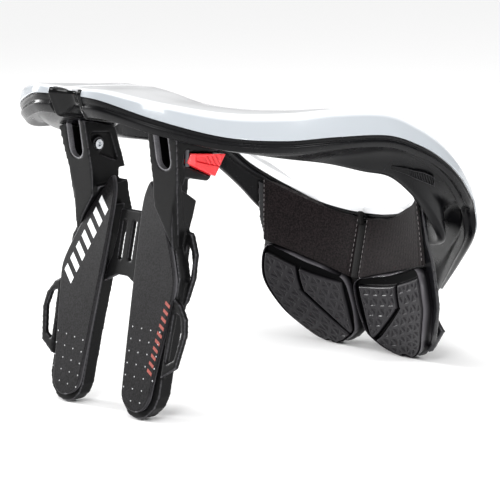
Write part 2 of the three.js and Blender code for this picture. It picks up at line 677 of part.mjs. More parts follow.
// The bridge between the wings: its right half outline [x, z] in the plates' shares, mirrored, with two
// long slots
const bridgeHalf = [
  [0.180, 0.8467], [0.192, 0.7299], [0.228, 0.6423], [0.284, 0.5985],
  [0.292, 0.5292], [0.190, 0.5511], [0.080, 0.5693],
];
const bridgeOutline = [...bridgeHalf, ...bridgeHalf.map(([x, z]) => [-x, z]).reverse()];
const bridgeSlotShares = { x: 0.088, low: 0.6350, high: 0.8029 };
const bridgeSlot = (side) => {
  const half = bridgeSlotWidth / 2 / wingHalfSpan;
  const { x, low, high } = bridgeSlotShares;
  const [inner, outer] = [side * x - half, side * x + half];
  const outline = [[inner, low], [outer, low], [outer, high], [inner, high]];
  return wingSlab(outline, bridgeInset - bridgeThickness, bridgeThickness * 3);
};
const bridgePlate = wingSlab(bridgeOutline, bridgeInset, bridgeThickness);
place("wing_bridge", cut(bridgePlate, bridgeSlot(-1), bridgeSlot(1)), finish.arm);

// The origin lies under the middle of the whole brace
const extent = new THREE.Box3().setFromObject(brace);
brace.position.y = -(extent.min.y + extent.max.y) / 2;

export default brace;
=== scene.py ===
"""Looks of a motocross neck brace: a collar in two glossy shells, rear wings and a padded front."""

import logging
import math
from dataclasses import dataclass, field
from enum import Enum

import bmesh
import bpy
import numpy as np
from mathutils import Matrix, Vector


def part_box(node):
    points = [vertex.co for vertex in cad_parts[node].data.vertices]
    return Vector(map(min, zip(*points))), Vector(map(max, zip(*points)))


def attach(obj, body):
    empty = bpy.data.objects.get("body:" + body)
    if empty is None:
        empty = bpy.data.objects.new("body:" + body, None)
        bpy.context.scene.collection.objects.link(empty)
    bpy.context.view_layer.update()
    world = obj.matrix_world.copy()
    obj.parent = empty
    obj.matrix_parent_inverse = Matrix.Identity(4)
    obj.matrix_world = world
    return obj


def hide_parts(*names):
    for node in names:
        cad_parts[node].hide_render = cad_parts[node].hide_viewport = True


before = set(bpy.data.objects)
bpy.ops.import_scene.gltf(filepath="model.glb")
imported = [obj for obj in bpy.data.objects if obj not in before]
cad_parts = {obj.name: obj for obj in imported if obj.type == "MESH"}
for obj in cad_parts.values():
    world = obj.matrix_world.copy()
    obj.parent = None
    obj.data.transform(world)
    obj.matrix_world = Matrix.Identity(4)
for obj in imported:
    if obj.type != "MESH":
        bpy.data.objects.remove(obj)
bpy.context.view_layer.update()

log = logging.getLogger("neck_brace")
logging.basicConfig(level=logging.INFO, format="%(message)s")

# Driving sizes in millimetres, in a frame whose y = 0 is the neck's centre
COLLAR_HALF_WIDTH = 113.0
COLLAR_LENGTH = 340.0
COLLAR_HEIGHT = 189.0
SHELL_THICKNESS = 2.4
SEAT_GAP = 0.3
CHEST_HALF_WIDTH = 71.5
CHEST_TOP = 112.0
CHEST_BACK = 79.0
WING_HALF_SPAN = 50.0
WING_LENGTH = 137.0
WING_STANDOFF = 110.4
WING_REF_HEIGHT = 80.0
WING_LEAN = 0.22
WING_PLATE_THICKNESS = 2.6
# The front edge's distance from the neck's centre, as a share of COLLAR_LENGTH
FRONT_REACH = 0.556
# Scale of the gloss's broad patches, each about 17 mm wide
BROAD_SCALE = 60.0

NECK_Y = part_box("collar_shell_right")[1].y * 1000.0 - FRONT_REACH * COLLAR_LENGTH


class Side(Enum):
    """The wearer's two sides."""

    RIGHT = 1
    LEFT = -1

    @property
    def word(self) -> str:
        """The side's word in node names."""
        return self.name.lower()


def linear(code: str) -> tuple[float, float, float, float]:
    """Turns an sRGB hex code into a linear colour.

    Args:
        code: six hex digits.

    Returns:
        red, green, blue and 1.
    """
    parts = np.array([int(code[k:k + 2], 16) / 255.0 for k in (0, 2, 4)])
    shown = np.where(parts <= 0.04045, parts / 12.92, ((parts + 0.055) / 1.055) ** 2.4)
    return (float(shown[0]), float(shown[1]), float(shown[2]), 1.0)


def add_node(
    tree: bpy.types.NodeTree, kind: str, settings: dict | None = None, links: dict | None = None,
) -> bpy.types.Node:
    """Adds a node with its settings and links.

    Args:
        tree: the node tree.
        kind: the node's type.
        settings: attribute names, or input names after "in:", with their values.
        links: input names with the sockets that feed them.

    Returns:
        the node.
    """
    node = tree.nodes.new(kind)
    for name, value in (settings or {}).items():
        if name.startswith("in:"):
            key = name[3:]
            node.inputs[int(key) if key.isdigit() else key].default_value = value
        else:
            setattr(node, name, value)
    for name, socket in (links or {}).items():
        tree.links.new(socket, node.inputs[int(name) if name.isdigit() else name])
    return node


@dataclass(frozen=True)
class Finish:
    """A moulded or woven surface: its colour, gloss and grain, and a painted highlight on its sharp
    edges.
    """

    name: str
    code: str
    roughness: float
    grain_mm: float = 0.35
    grain_depth_mm: float = 0.02
    mottle: float = 0.1
    specular: float = 0.5
    coat: float = 0.0
    metallic: float = 0.0
    sheen: float = 0.0
    edge_highlight_code: str = ""
    weave_mm: float = 0.0

    def make(self) -> bpy.types.Material:
        """Builds the node material, with its grain and mottle from Object coordinates.

        Returns:
            the material.
        """
        material = bpy.data.materials.new(self.name)
        material.use_nodes = True
        tree = material.node_tree
        shader = tree.nodes["Principled BSDF"]
        shader.inputs["Metallic"].default_value = self.metallic
        shader.inputs["Specular IOR Level"].default_value = self.specular
        shader.inputs["Coat Weight"].default_value = self.coat
        shader.inputs["Coat Roughness"].default_value = 0.06
        shader.inputs["Sheen Weight"].default_value = self.sheen
        place = add_node(tree, "ShaderNodeTexCoord").outputs["Object"]
        fine = add_node(
            tree, "ShaderNodeTexNoise",
            {"in:Scale": 1000.0 / self.grain_mm, "in:Detail": 3.0}, {"Vector": place},
        )
        broad = add_node(
            tree, "ShaderNodeTexNoise",
            {"in:Scale": BROAD_SCALE, "in:Detail": 4.0}, {"Vector": place},
        )
        low, high = 1.0 - self.mottle, 1.0 + self.mottle
        tone = add_node(
            tree, "ShaderNodeMapRange",
            {"in:From Min": 0.36, "in:From Max": 0.64, "in:To Min": low, "in:To Max": high},
            {"Value": fine.outputs["Fac"]},
        )
        colour = add_node(
            tree, "ShaderNodeMix",
            {"data_type": "RGBA", "blend_type": "MULTIPLY", "in:0": 1.0, "in:6": linear(self.code)},
            {"7": tone.outputs["Result"]},
        )
        shown = colour.outputs[2]
        # A painted highlight: sharp edges, found by Pointiness, are mixed towards a light grey
        if self.edge_highlight_code:
            edge = add_node(tree, "ShaderNodeNewGeometry").outputs["Pointiness"]
            edge_highlight = add_node(
                tree, "ShaderNodeMapRange",
                {"in:From Min": 0.52, "in:From Max": 0.58, "in:To Max": 0.75}, {"Value": edge},
            )
            shown = add_node(
                tree, "ShaderNodeMix", {"data_type": "RGBA", "in:7": linear(self.edge_highlight_code)},
                {"0": edge_highlight.outputs["Result"], "6": shown},
            ).outputs[2]
        tree.links.new(shown, shader.inputs["Base Color"])
        rough = add_node(
            tree, "ShaderNodeMapRange",
            {"in:To Min": max(self.roughness - 0.06, 0.03), "in:To Max": self.roughness + 0.08},
            {"Value": broad.outputs["Fac"]},
        )
        tree.links.new(rough.outputs["Result"], shader.inputs["Roughness"])
        height = fine.outputs["Fac"]
        if self.weave_mm:
            # Half a wave is pi / 20 of a metre at scale 1, so each band is weave_mm wide
            bands = 50.0 * math.pi / self.weave_mm
            warp, weft = (
                add_node(
                    tree, "ShaderNodeTexWave",
                    {"bands_direction": axis, "in:Scale": bands, "in:Distortion": 1.5},
                    {"Vector": place},
                ).outputs["Fac"]
                for axis in ("X", "Z")
            )
            woven = add_node(
                tree, "ShaderNodeMath", {"operation": "MULTIPLY"}, {"0": warp, "1": weft},
            )
            height = add_node(
                tree, "ShaderNodeMath", {"operation": "ADD"},
                {"0": woven.outputs[0], "1": fine.outputs["Fac"]},
            ).outputs[0]
        bump = add_node(
            tree, "ShaderNodeBump",
            {"in:Strength": 0.6, "in:Distance": self.grain_depth_mm / 1000.0}, {"Height": height},
        )
        tree.links.new(bump.outputs["Normal"], shader.inputs["Normal"])
        return material


@dataclass(frozen=True)
class ShadedLipShell(Finish):
    """The white shell: polished injection-moulded ABS whose lip carries a painted shade, pale grey
    up to its crease.
    """

    lip_shade_code: str = "A4A9AE"
    lip_shade_share: float = 0.82
    lip_shade_fade: float = 0.3

    def make(self) -> bpy.types.Material:
        """Adds the lip's painted shade by the UV map's v, the way from the rim as a share of the
        lip's height.

        Returns:
            the material.
        """
        material = super().make()
        tree = material.node_tree
        shader = tree.nodes["Principled BSDF"]
        plain = shader.inputs["Base Color"].links[0].from_socket
        uv = add_node(tree, "ShaderNodeUVMap", {"uv_map": "UVMap"})
        split = add_node(tree, "ShaderNodeSeparateXYZ", {}, {"Vector": uv.outputs["UV"]})
        fade_end = self.lip_shade_share + self.lip_shade_fade
        # The painted shade covers the lip up to a share of its height, then fades out
        band = add_node(
            tree, "ShaderNodeMapRange",
            {
                "in:From Min": self.lip_shade_share, "in:From Max": fade_end,
                "in:To Min": 1.0, "in:To Max": 0.0,
            },
            {"Value": split.outputs["Y"]},
        )
        shaded_colour = add_node(
            tree, "ShaderNodeMix", {"data_type": "RGBA", "in:7": linear(self.lip_shade_code)},
            {"0": band.outputs["Result"], "6": plain},
        )
        tree.links.new(shaded_colour.outputs[2], shader.inputs["Base Color"])
        return material


@dataclass(frozen=True)
class MouldedPad(Finish):
    """Pad rubber whose colour falls to near black in the channels, a painted shade, by the height
    in the UV map's v, and lightens on the crest of the rim, a painted highlight, by the mask in its
    u."""

    channel_shade_code: str = "020203"
    rim_highlight_code: str = "4E4C50"
    channel_shade_from_m: float = -0.0012
    channel_shade_to_m: float = 0.0002

    def make(self) -> bpy.types.Material:
        """Paints shade into the channels, with less reflection there, and a highlight on the rim's
        crest.

        Returns:
            the material.
        """
        material = super().make()
        tree = material.node_tree
        shader = tree.nodes["Principled BSDF"]
        plain = shader.inputs["Base Color"].links[0].from_socket
        uv = add_node(tree, "ShaderNodeUVMap", {"uv_map": "UVMap"})
        split = add_node(tree, "ShaderNodeSeparateXYZ", {}, {"Vector": uv.outputs["UV"]})
        # Painted shade: near black in the channels, by the relief's height in v
        hollow = add_node(
            tree, "ShaderNodeMapRange",
            {
                "in:From Min": self.channel_shade_from_m, "in:From Max": self.channel_shade_to_m,
                "in:To Min": 1.0, "in:To Max": 0.0,
            },
            {"Value": split.outputs["Y"]},
        )
        shaded_colour = add_node(
            tree, "ShaderNodeMix", {"data_type": "RGBA", "in:7": linear(self.channel_shade_code)},
            {"0": hollow.outputs["Result"], "6": plain},
        )
        # Painted highlight along the rim's crest, by the mask in u
        rim_highlight = add_node(
            tree, "ShaderNodeMix", {"data_type": "RGBA", "in:7": linear(self.rim_highlight_code)},
            {"0": split.outputs["X"], "6": shaded_colour.outputs[2]},
        )
        tree.links.new(rim_highlight.outputs[2], shader.inputs["Base Color"])
        # Less reflection in the channels, together with their painted shade
        shade = add_node(
            tree, "ShaderNodeMapRange", {"in:To Min": self.specular, "in:To Max": 0.03},
            {"Value": hollow.outputs["Result"]},
        )
        tree.links.new(shade.outputs["Result"], shader.inputs["Specular IOR Level"])
        return material


# Polished injection-moulded ABS: a hard even gloss, with a painted grey shade on its lip
SHELL_ABS = ShadedLipShell(
    "polished_white_abs", "F0F1F3", 0.16,
    grain_mm=2.0, grain_depth_mm=0.004, mottle=0.01, coat=0.35,
)
# Moulded polyamide: near black with a low sheen and a fine spark-eroded grain
BODY_NYLON = Finish(
    "moulded_black_polyamide", "08080A", 0.27,
    grain_mm=0.6, grain_depth_mm=0.02, mottle=0.2, specular=0.12,
)
# Satin polyamide of the chest shells: dark grey with a broad soft highlight
SATIN_NYLON = Finish(
    "satin_grey_polyamide", "1E1E21", 0.3, grain_mm=0.6, grain_depth_mm=0.012, specular=0.4,
)
# Smooth thermoplastic rubber: darker and glossier than the body
SADDLE_TPE = Finish(
    "smooth_black_elastomer", "070708", 0.16, grain_mm=0.8, grain_depth_mm=0.012, specular=0.22,
)
# Glass-filled polyamide: matte, a grain that scatters light at every angle. The glass grit is finer
# than a millimetre and is drawn at 0.8 mm, as fine as still shows
# Its sharp edges carry a painted highlight in light grey
STRUT_NYLON = Finish(
    "glass_filled_polyamide", "0A0A0B", 0.42,
    grain_mm=0.8, grain_depth_mm=0.05, mottle=0.35, specular=0.12, edge_highlight_code="6A696D",
)
# The same polyamide on the slot's lip, painted light grey: a painted highlight where the wall
# catches the light
LIP_HIGHLIGHT_NYLON = Finish(
    "smoothed_polyamide_lip", "757478", 0.4,
    grain_mm=0.8, grain_depth_mm=0.03, mottle=0.2, specular=0.3,
)
# Grained polyamide cover: charcoal with pale flecks of fibre, and a painted highlight on its sharp
# edges
PLATE_NYLON = Finish(
    "grained_charcoal_polyamide", "111012", 0.44,
    grain_mm=1.0, grain_depth_mm=0.1, mottle=0.95, specular=0.14, edge_highlight_code="6E6D71",
)
# Knitted polyester lining: dark brown-black, soft at grazing angles. Its stitches of about 0.8 mm
# are drawn at 1.6 mm, as fine as still shows
LINING_KNIT = Finish(
    "knitted_polyester", "151011", 0.92,
    grain_mm=1.0, grain_depth_mm=0.14, mottle=0.85, specular=0.1, sheen=0.1, weave_mm=1.6,
)
# Moulded EVA rubber of the pads: a soft sheen on the islands, painted shade in the channels, a
# painted highlight on the rim's crest
PAD_EVA = MouldedPad(
    "moulded_eva_rubber", "18161A", 0.34,
    grain_mm=0.8, grain_depth_mm=0.02, mottle=0.2, specular=0.26,
)
# Woven nylon tape: dull, with its threads just showing
TAPE_WEAVE = Finish(
    "woven_nylon_tape", "0B0A0A", 0.7,
    grain_mm=0.8, grain_depth_mm=0.1, mottle=0.5, specular=0.15, weave_mm=0.9,
)
# Polyester sewing thread: a pale grey line of short dashes
THREAD = Finish("polyester_thread", "6E6A6B", 0.6, grain_mm=0.3, mottle=0.2)
# Coloured acetal: saturated red with an even satin gloss
TAB_ACETAL = Finish(
    "moulded_red_acetal", "F5262E", 0.33,
    grain_mm=0.8, grain_depth_mm=0.01, mottle=0.04, coat=0.15,
)
# Zinc-plated steel: pale and bright, with a clean highlight
PLATED_STEEL = Finish(
    "zinc_plated_steel", "C2C5C9", 0.25, grain_mm=0.4, metallic=1.0, mottle=0.05,
)
# Screen-printed inks: flat and even, duller than the plastic under them
WHITE_INK = Finish("white_screen_ink", "E6E7E8", 0.5, grain_mm=0.8, mottle=0.05)
DOT_INK = Finish("grey_screen_ink", "A9AAAC", 0.5, grain_mm=0.8, mottle=0.1)
RED_INK = Finish("red_screen_ink", "8E3A2E", 0.55, grain_mm=0.8, mottle=0.25)


def to_row(points: np.ndarray) -> np.ndarray:
    """Millimetres in the neck's frame, moved along y by the neck's place and turned to metres."""
    return (points + np.array([0.0, NECK_Y, 0.0])) * 0.001


def sample(table: np.ndarray, t: np.ndarray) -> np.ndarray:
    """Rows of a table at t by a Catmull-Rom spline.

    Args:
        table: (rows, columns).
        t: (n,) between 0 and 1.

    Returns:
        (n, columns).
    """
    last = len(table) - 1
    at = np.clip(t, 0.0, 1.0) * last
    k = np.minimum(at.astype(int), last - 1)
    f = (at - k)[:, None]
    a, b, c, d = (table[np.clip(k + step, 0, last)] for step in (-1, 0, 1, 2))
    square = 2 * a - 5 * b + 4 * c - d
    cube = 3 * b - a - 3 * c + d
    return 0.5 * (2 * b + (c - a) * f + square * f**2 + cube * f**3)


def logistic(distance: np.ndarray, width: float) -> np.ndarray:
    """A soft step from 0 to 1 across a distance of 0: 1 / (1 + exp(-d / w))."""
    return 1.0 / (1.0 + np.exp(-np.clip(distance / width, -40.0, 40.0)))


def rounded(points: np.ndarray, radii: np.ndarray, steps: int) -> np.ndarray:
    """Rounds the corners of many closed outlines at once: each corner P becomes the curve
    (1-s)^2 A + 2s(1-s) P + s^2 C, where A and C lie on its two edges at the corner's radius.

    Args:
        points: (rows, n, 3) corners.
        radii: (n,) reach of each corner's curve in millimetres.
        steps: points on each curve.

    Returns:
        (rows, n * steps, 3).
    """
    back = np.roll(points, 1, axis=1) - points
    ahead = np.roll(points, -1, axis=1) - points
    length_back = np.linalg.norm(back, axis=2, keepdims=True) + 1e-9
    length_ahead = np.linalg.norm(ahead, axis=2, keepdims=True) + 1e-9
    reach = np.minimum(radii[None, :, None], 0.49 * np.minimum(length_back, length_ahead))
    start = points + back / length_back * reach
    end = points + ahead / length_ahead * reach
    s = np.linspace(0.0, 1.0, steps)[None, None, :, None]
    from_start = (1 - s) ** 2 * start[:, :, None]
    curve = from_start + 2 * s * (1 - s) * points[:, :, None] + s**2 * end[:, :, None]
    return curve.reshape(points.shape[0], -1, 3)


def tube_quads(rows: int, columns: int) -> np.ndarray:
    """Quads over a grid of points whose last column joins its first.

    Args:
        rows: rows of the grid.
        columns: columns of the grid.

    Returns:
        (quads, 4) point indices.
    """
    row, column = np.meshgrid(np.arange(rows - 1), np.arange(columns), indexing="ij")
    here, below = row * columns, (row + 1) * columns
    beside = (column + 1) % columns
    quads = [here + column, here + beside, below + beside, below + column]
    return np.stack(quads, axis=-1).reshape(-1, 4)


def piece(
    name: str, points: np.ndarray, faces: list, finish: bpy.types.Material, body: str,
    replaced: tuple[str, ...] = (), uv: np.ndarray | None = None,
    flat: bool = False,
) -> bpy.types.Object:
    """Makes an object from points in millimetres, dresses it and lets it ride on its body.

    Args:
        name: the piece's name.
        points: (n, 3) in the neck's frame.
        faces: index lists.
        finish: the material.
        body: the CAD body that carries it.
        replaced: CAD nodes that it stands for.
        uv: (n, 2) per point, if a pattern follows the surface.
        flat: whether faces stay flat shaded.

    Returns:
        the object.
    """
    mesh = bpy.data.meshes.new(name)
    mesh.from_pydata(to_row(points), [], faces)
    if not flat:
        mesh.polygons.foreach_set("use_smooth", np.ones(len(mesh.polygons), bool))
    if uv is not None:
        layer = mesh.uv_layers.new(name="UVMap")
        corner = np.empty(len(mesh.loops), np.int32)
        mesh.loops.foreach_get("vertex_index", corner)
        layer.data.foreach_set("uv", uv[corner].astype(np.float32).ravel())
    mesh.validate()
    mesh.update()
    obj = bpy.data.objects.new(name, mesh)
    bpy.context.scene.collection.objects.link(obj)
    mesh.materials.append(finish)
    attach(obj, body)
    if replaced:
        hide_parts(*replaced)
    log.info("%s: %d points", name, len(points))
    return obj


def closed_tube(rings: np.ndarray) -> tuple[np.ndarray, list]:
    """A closed skin through rings with both ends capped, its faces pointing out.

    Args:
        rings: (rows, n, 3).

    Returns:
        points and faces.
    """
    rows, count = rings.shape[:2]
    points = rings.reshape(-1, 3)
    quads = tube_quads(rows, count)
    a, b, c, d = (points[quads[:, k]] for k in range(4))
    facing = np.cross(b - a, c - a) + np.cross(c - a, d - a)
    volume = np.einsum("ij,ij->i", a - points.mean(0), facing).sum()
    ends = [list(range(count))[::-1], list(range((rows - 1) * count, rows * count))]
    faces = quads.tolist() + ends
    if volume < 0:
        faces = [face[::-1] for face in faces]
    return points, faces


def auto_smooth(obj: bpy.types.Object, degrees: float) -> None:
    """Keeps edges sharper than the angle sharp.

    Args:
        obj: the piece.
        degrees: the angle between two faces from which their edge stays sharp.
    """
    mesh = obj.data
    work = bmesh.new()
    work.from_mesh(mesh)
    limit = math.radians(degrees)
    for edge in work.edges:
        edge.smooth = len(edge.link_faces) == 2 and edge.calc_face_angle(0.0) < limit
    work.to_mesh(mesh)
    work.free()


def turn_outwards(obj: bpy.types.Object) -> None:
    """Turns every face of a closed piece outwards.

    Args:
        obj: the piece.
    """
    work = bmesh.new()
    work.from_mesh(obj.data)
    bmesh.ops.recalc_face_normals(work, faces=work.faces)
    work.to_mesh(obj.data)
    work.free()


def moulded_copy(
    node: str, name: str, finish: bpy.types.Material, body: str,
    voxel: float, passes: int,
) -> bpy.types.Object:
    """A copy of a CAD node with its edges rounded as a mould leaves them: voxels, then smoothing.

    Args:
        node: the CAD node.
        name: the piece's name.
        finish: its material.
        body: the CAD body that carries it.
        voxel: voxel size in millimetres.
        passes: smoothing passes.

    Returns:
        the object.
    """
    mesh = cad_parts[node].data.copy()
    work = bmesh.new()
    work.from_mesh(mesh)
    bmesh.ops.remove_doubles(work, verts=work.verts, dist=1e-6)
    work.to_mesh(mesh)
    work.free()
    mesh.materials.clear()
    mesh.materials.append(finish)
    obj = bpy.data.objects.new(name, mesh)
    bpy.context.scene.collection.objects.link(obj)
    remesh = obj.modifiers.new("voxels", "REMESH")
    remesh.mode = "VOXEL"
    remesh.voxel_size = voxel / 1000.0
    remesh.use_smooth_shade = True
    smooth = obj.modifiers.new("soft edges", "SMOOTH")
    smooth.factor = 0.5
    smooth.iterations = passes
    graph = bpy.context.evaluated_depsgraph_get()
    baked = bpy.data.meshes.new_from_object(obj.evaluated_get(graph))
    obj.modifiers.clear()
    obj.data = baked
    baked.name = name
    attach(obj, body)
    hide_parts(node)
    log.info("%s: %d points", name, len(baked.vertices))
    return obj


def capsules(starts: np.ndarray, ends: np.ndarray, radius: float) -> tuple[np.ndarray, list]:
    """Short round-ended rods, all at once: five rings along each line, narrow at its two ends.

    Args:
        starts: (n, 3) first ends.
        ends: (n, 3) last ends.
        radius: radius in millimetres.

    Returns:
        points and faces.
    """
    sides = 6
    along = ends - starts
    along /= np.linalg.norm(along, axis=1, keepdims=True)
    helper = np.where(np.abs(along[:, 2:3]) > 0.8, [[1.0, 0.0, 0.0]], [[0.0, 0.0, 1.0]])
    first = np.cross(along, helper)
    first /= np.linalg.norm(first, axis=1, keepdims=True)
    second = np.cross(along, first)
    share = np.array([0.0, 0.12, 0.5, 0.88, 1.0])
    wide = radius * np.array([0.2, 0.8, 1.0, 0.8, 0.2])
    angle = np.arange(sides) * 2 * np.pi / sides
    middle = starts[:, None] + (ends - starts)[:, None] * share[None, :, None]
    cosine, sine = np.cos(angle)[:, None], np.sin(angle)[:, None]
    turn = first[:, None, None] * cosine + second[:, None, None] * sine
    points = middle[:, :, None] + turn * wide[None, :, None, None]
    quads = tube_quads(len(share), sides)
    count = sides * len(share)
    base = np.arange(len(starts)) * count
    faces = (base[:, None, None] + quads[None]).reshape(-1, 4).tolist()
    for cap in (np.arange(sides)[::-1], np.arange(count - sides, count)):
        faces += (base[:, None] + cap[None]).tolist()
    return points.reshape(-1, 3), faces


# Sections of the collar's right half from the saddle to the front centre, as shares of
# COLLAR_HALF_WIDTH (x), COLLAR_LENGTH (y) and COLLAR_HEIGHT (z, lip and band)
# columns: rim x, y, z; inner edge x, y, z; low edge x, y, z; lip height; band height; dish
COLLAR_SECTIONS = np.array([
    [0.124, -0.438, 0.992, 0.124, -0.268, 1.0, 0.124, -0.253, 0.878, 0.021, 0.066, 0],
    [0.274, -0.434, 0.984, 0.230, -0.259, 0.987, 0.221, -0.244, 0.868, 0.029, 0.062, 0],
    [0.531, -0.391, 0.934, 0.389, -0.232, 0.955, 0.381, -0.218, 0.831, 0.045, 0.053, 0],
    [0.752, -0.310, 0.883, 0.513, -0.179, 0.937, 0.504, -0.168, 0.802, 0.061, 0.045, 0],
    [0.894, -0.216, 0.864, 0.602, -0.112, 0.926, 0.597, -0.106, 0.778, 0.071, 0.042, 0],
    [0.965, -0.115, 0.864, 0.659, -0.035, 0.915, 0.664, -0.032, 0.754, 0.074, 0.042, 0.15],
    [1.0, 0.0, 0.853, 0.686, 0.041, 0.878, 0.704, 0.038, 0.720, 0.069, 0.041, 0.4],
    [0.991, 0.088, 0.808, 0.681, 0.106, 0.808, 0.717, 0.106, 0.690, 0.058, 0.036, 0.7],
    [0.965, 0.162, 0.750, 0.646, 0.162, 0.732, 0.720, 0.165, 0.622, 0.050, 0.032, 1],
    [0.920, 0.229, 0.679, 0.615, 0.203, 0.670, 0.704, 0.212, 0.548, 0.042, 0.030, 1],
    [0.850, 0.288, 0.604, 0.566, 0.241, 0.622, 0.673, 0.259, 0.460, 0.042, 0.030, 1],
    [0.796, 0.321, 0.560, 0.460, 0.274, 0.574, 0.584, 0.288, 0.423, 0.042, 0.030, 1],
    [0.743, 0.347, 0.466, 0.336, 0.294, 0.537, 0.442, 0.309, 0.407, 0.040, 0.030, 1],
    [0.398, 0.447, 0.333, 0.159, 0.306, 0.516, 0.230, 0.324, 0.397, 0.038, 0.034, 1],
    [0.0015, FRONT_REACH, 0.198, 0.0015, 0.309, 0.511, 0.0015, 0.329, 0.394, 0.036, 0.040, 1],
])


@dataclass
class Sections:
    """The collar's named lines at many places along it, all in millimetres."""

    t: np.ndarray
    rim: np.ndarray = field(init=False)
    inner: np.ndarray = field(init=False)
    low: np.ndarray = field(init=False)
    out: np.ndarray = field(init=False)
    lip: np.ndarray = field(init=False)
    band: np.ndarray = field(init=False)
    dish: np.ndarray = field(init=False)

    def __post_init__(self) -> None:
        """Samples the table once for every line."""
        rows = sample(COLLAR_SECTIONS, self.t)
        size = np.array([COLLAR_HALF_WIDTH, COLLAR_LENGTH, COLLAR_HEIGHT])
        self.rim, self.inner, self.low = (rows[:, k:k + 3] * size for k in (0, 3, 6))
        across = (self.rim - self.inner) * np.array([1.0, 1.0, 0.0])
        self.out = across / np.linalg.norm(across, axis=1, keepdims=True)
        self.lip, self.band = rows[:, 9:10] * COLLAR_HEIGHT, rows[:, 10:11] * COLLAR_HEIGHT
        self.dish = rows[:, 11:12]

    def shifted(
        self, line: np.ndarray, outward: np.ndarray | float, up: np.ndarray | float,
    ) -> np.ndarray:
        """A line moved outward and up."""
        return line + self.out * outward + np.array([0.0, 0.0, 1.0]) * up

    def shell_line(self, depth: float) -> list[np.ndarray]:
        """The shell's line from the bottom of its lip over the top to the inner edge.

        Args:
            depth: how far the line lies under the shell's outer face, in millimetres.

        Returns:
            the line's six corners, each (n, 3).
        """
        crease = self.shifted(self.rim, -0.25 * self.lip, self.lip)
        shoulder = self.shifted(crease + (self.inner - crease) * 0.07, 0.0, 0.12 * self.lip)
        top = self.shifted(crease + (self.inner - crease) * 0.55, 0.0, 0.16 * self.lip)
        foot = self.shifted(self.inner, -0.6, -5.0)
        return [
            self.shifted(self.rim, -depth, 0.0),
            self.shifted(crease, -depth, -0.3 * depth),
            self.shifted(shoulder, -0.6 * depth, -depth),
            self.shifted(top, 0.0, -depth),
            self.shifted(self.inner, 1.2 * depth, -depth),
            self.shifted(foot, depth, 0.0),
        ]


# Lower and upper line of the ribbed panel on the right inner wall, in millimetres
# columns: lower x, y, z; upper x, y, z
PANEL_LINES = np.array([
    [88.4, 30.0, 136.2, 89.6, 29.2, 139.0],
    [89.3, 42.6, 132.2, 90.8, 40.8, 136.8],
    [89.3, 50.0, 129.0, 91.1, 47.8, 134.9],
    [88.8, 59.9, 125.5, 91.5, 56.6, 132.8],
    [87.9, 70.3, 121.9, 91.8, 65.6, 128.9],
])


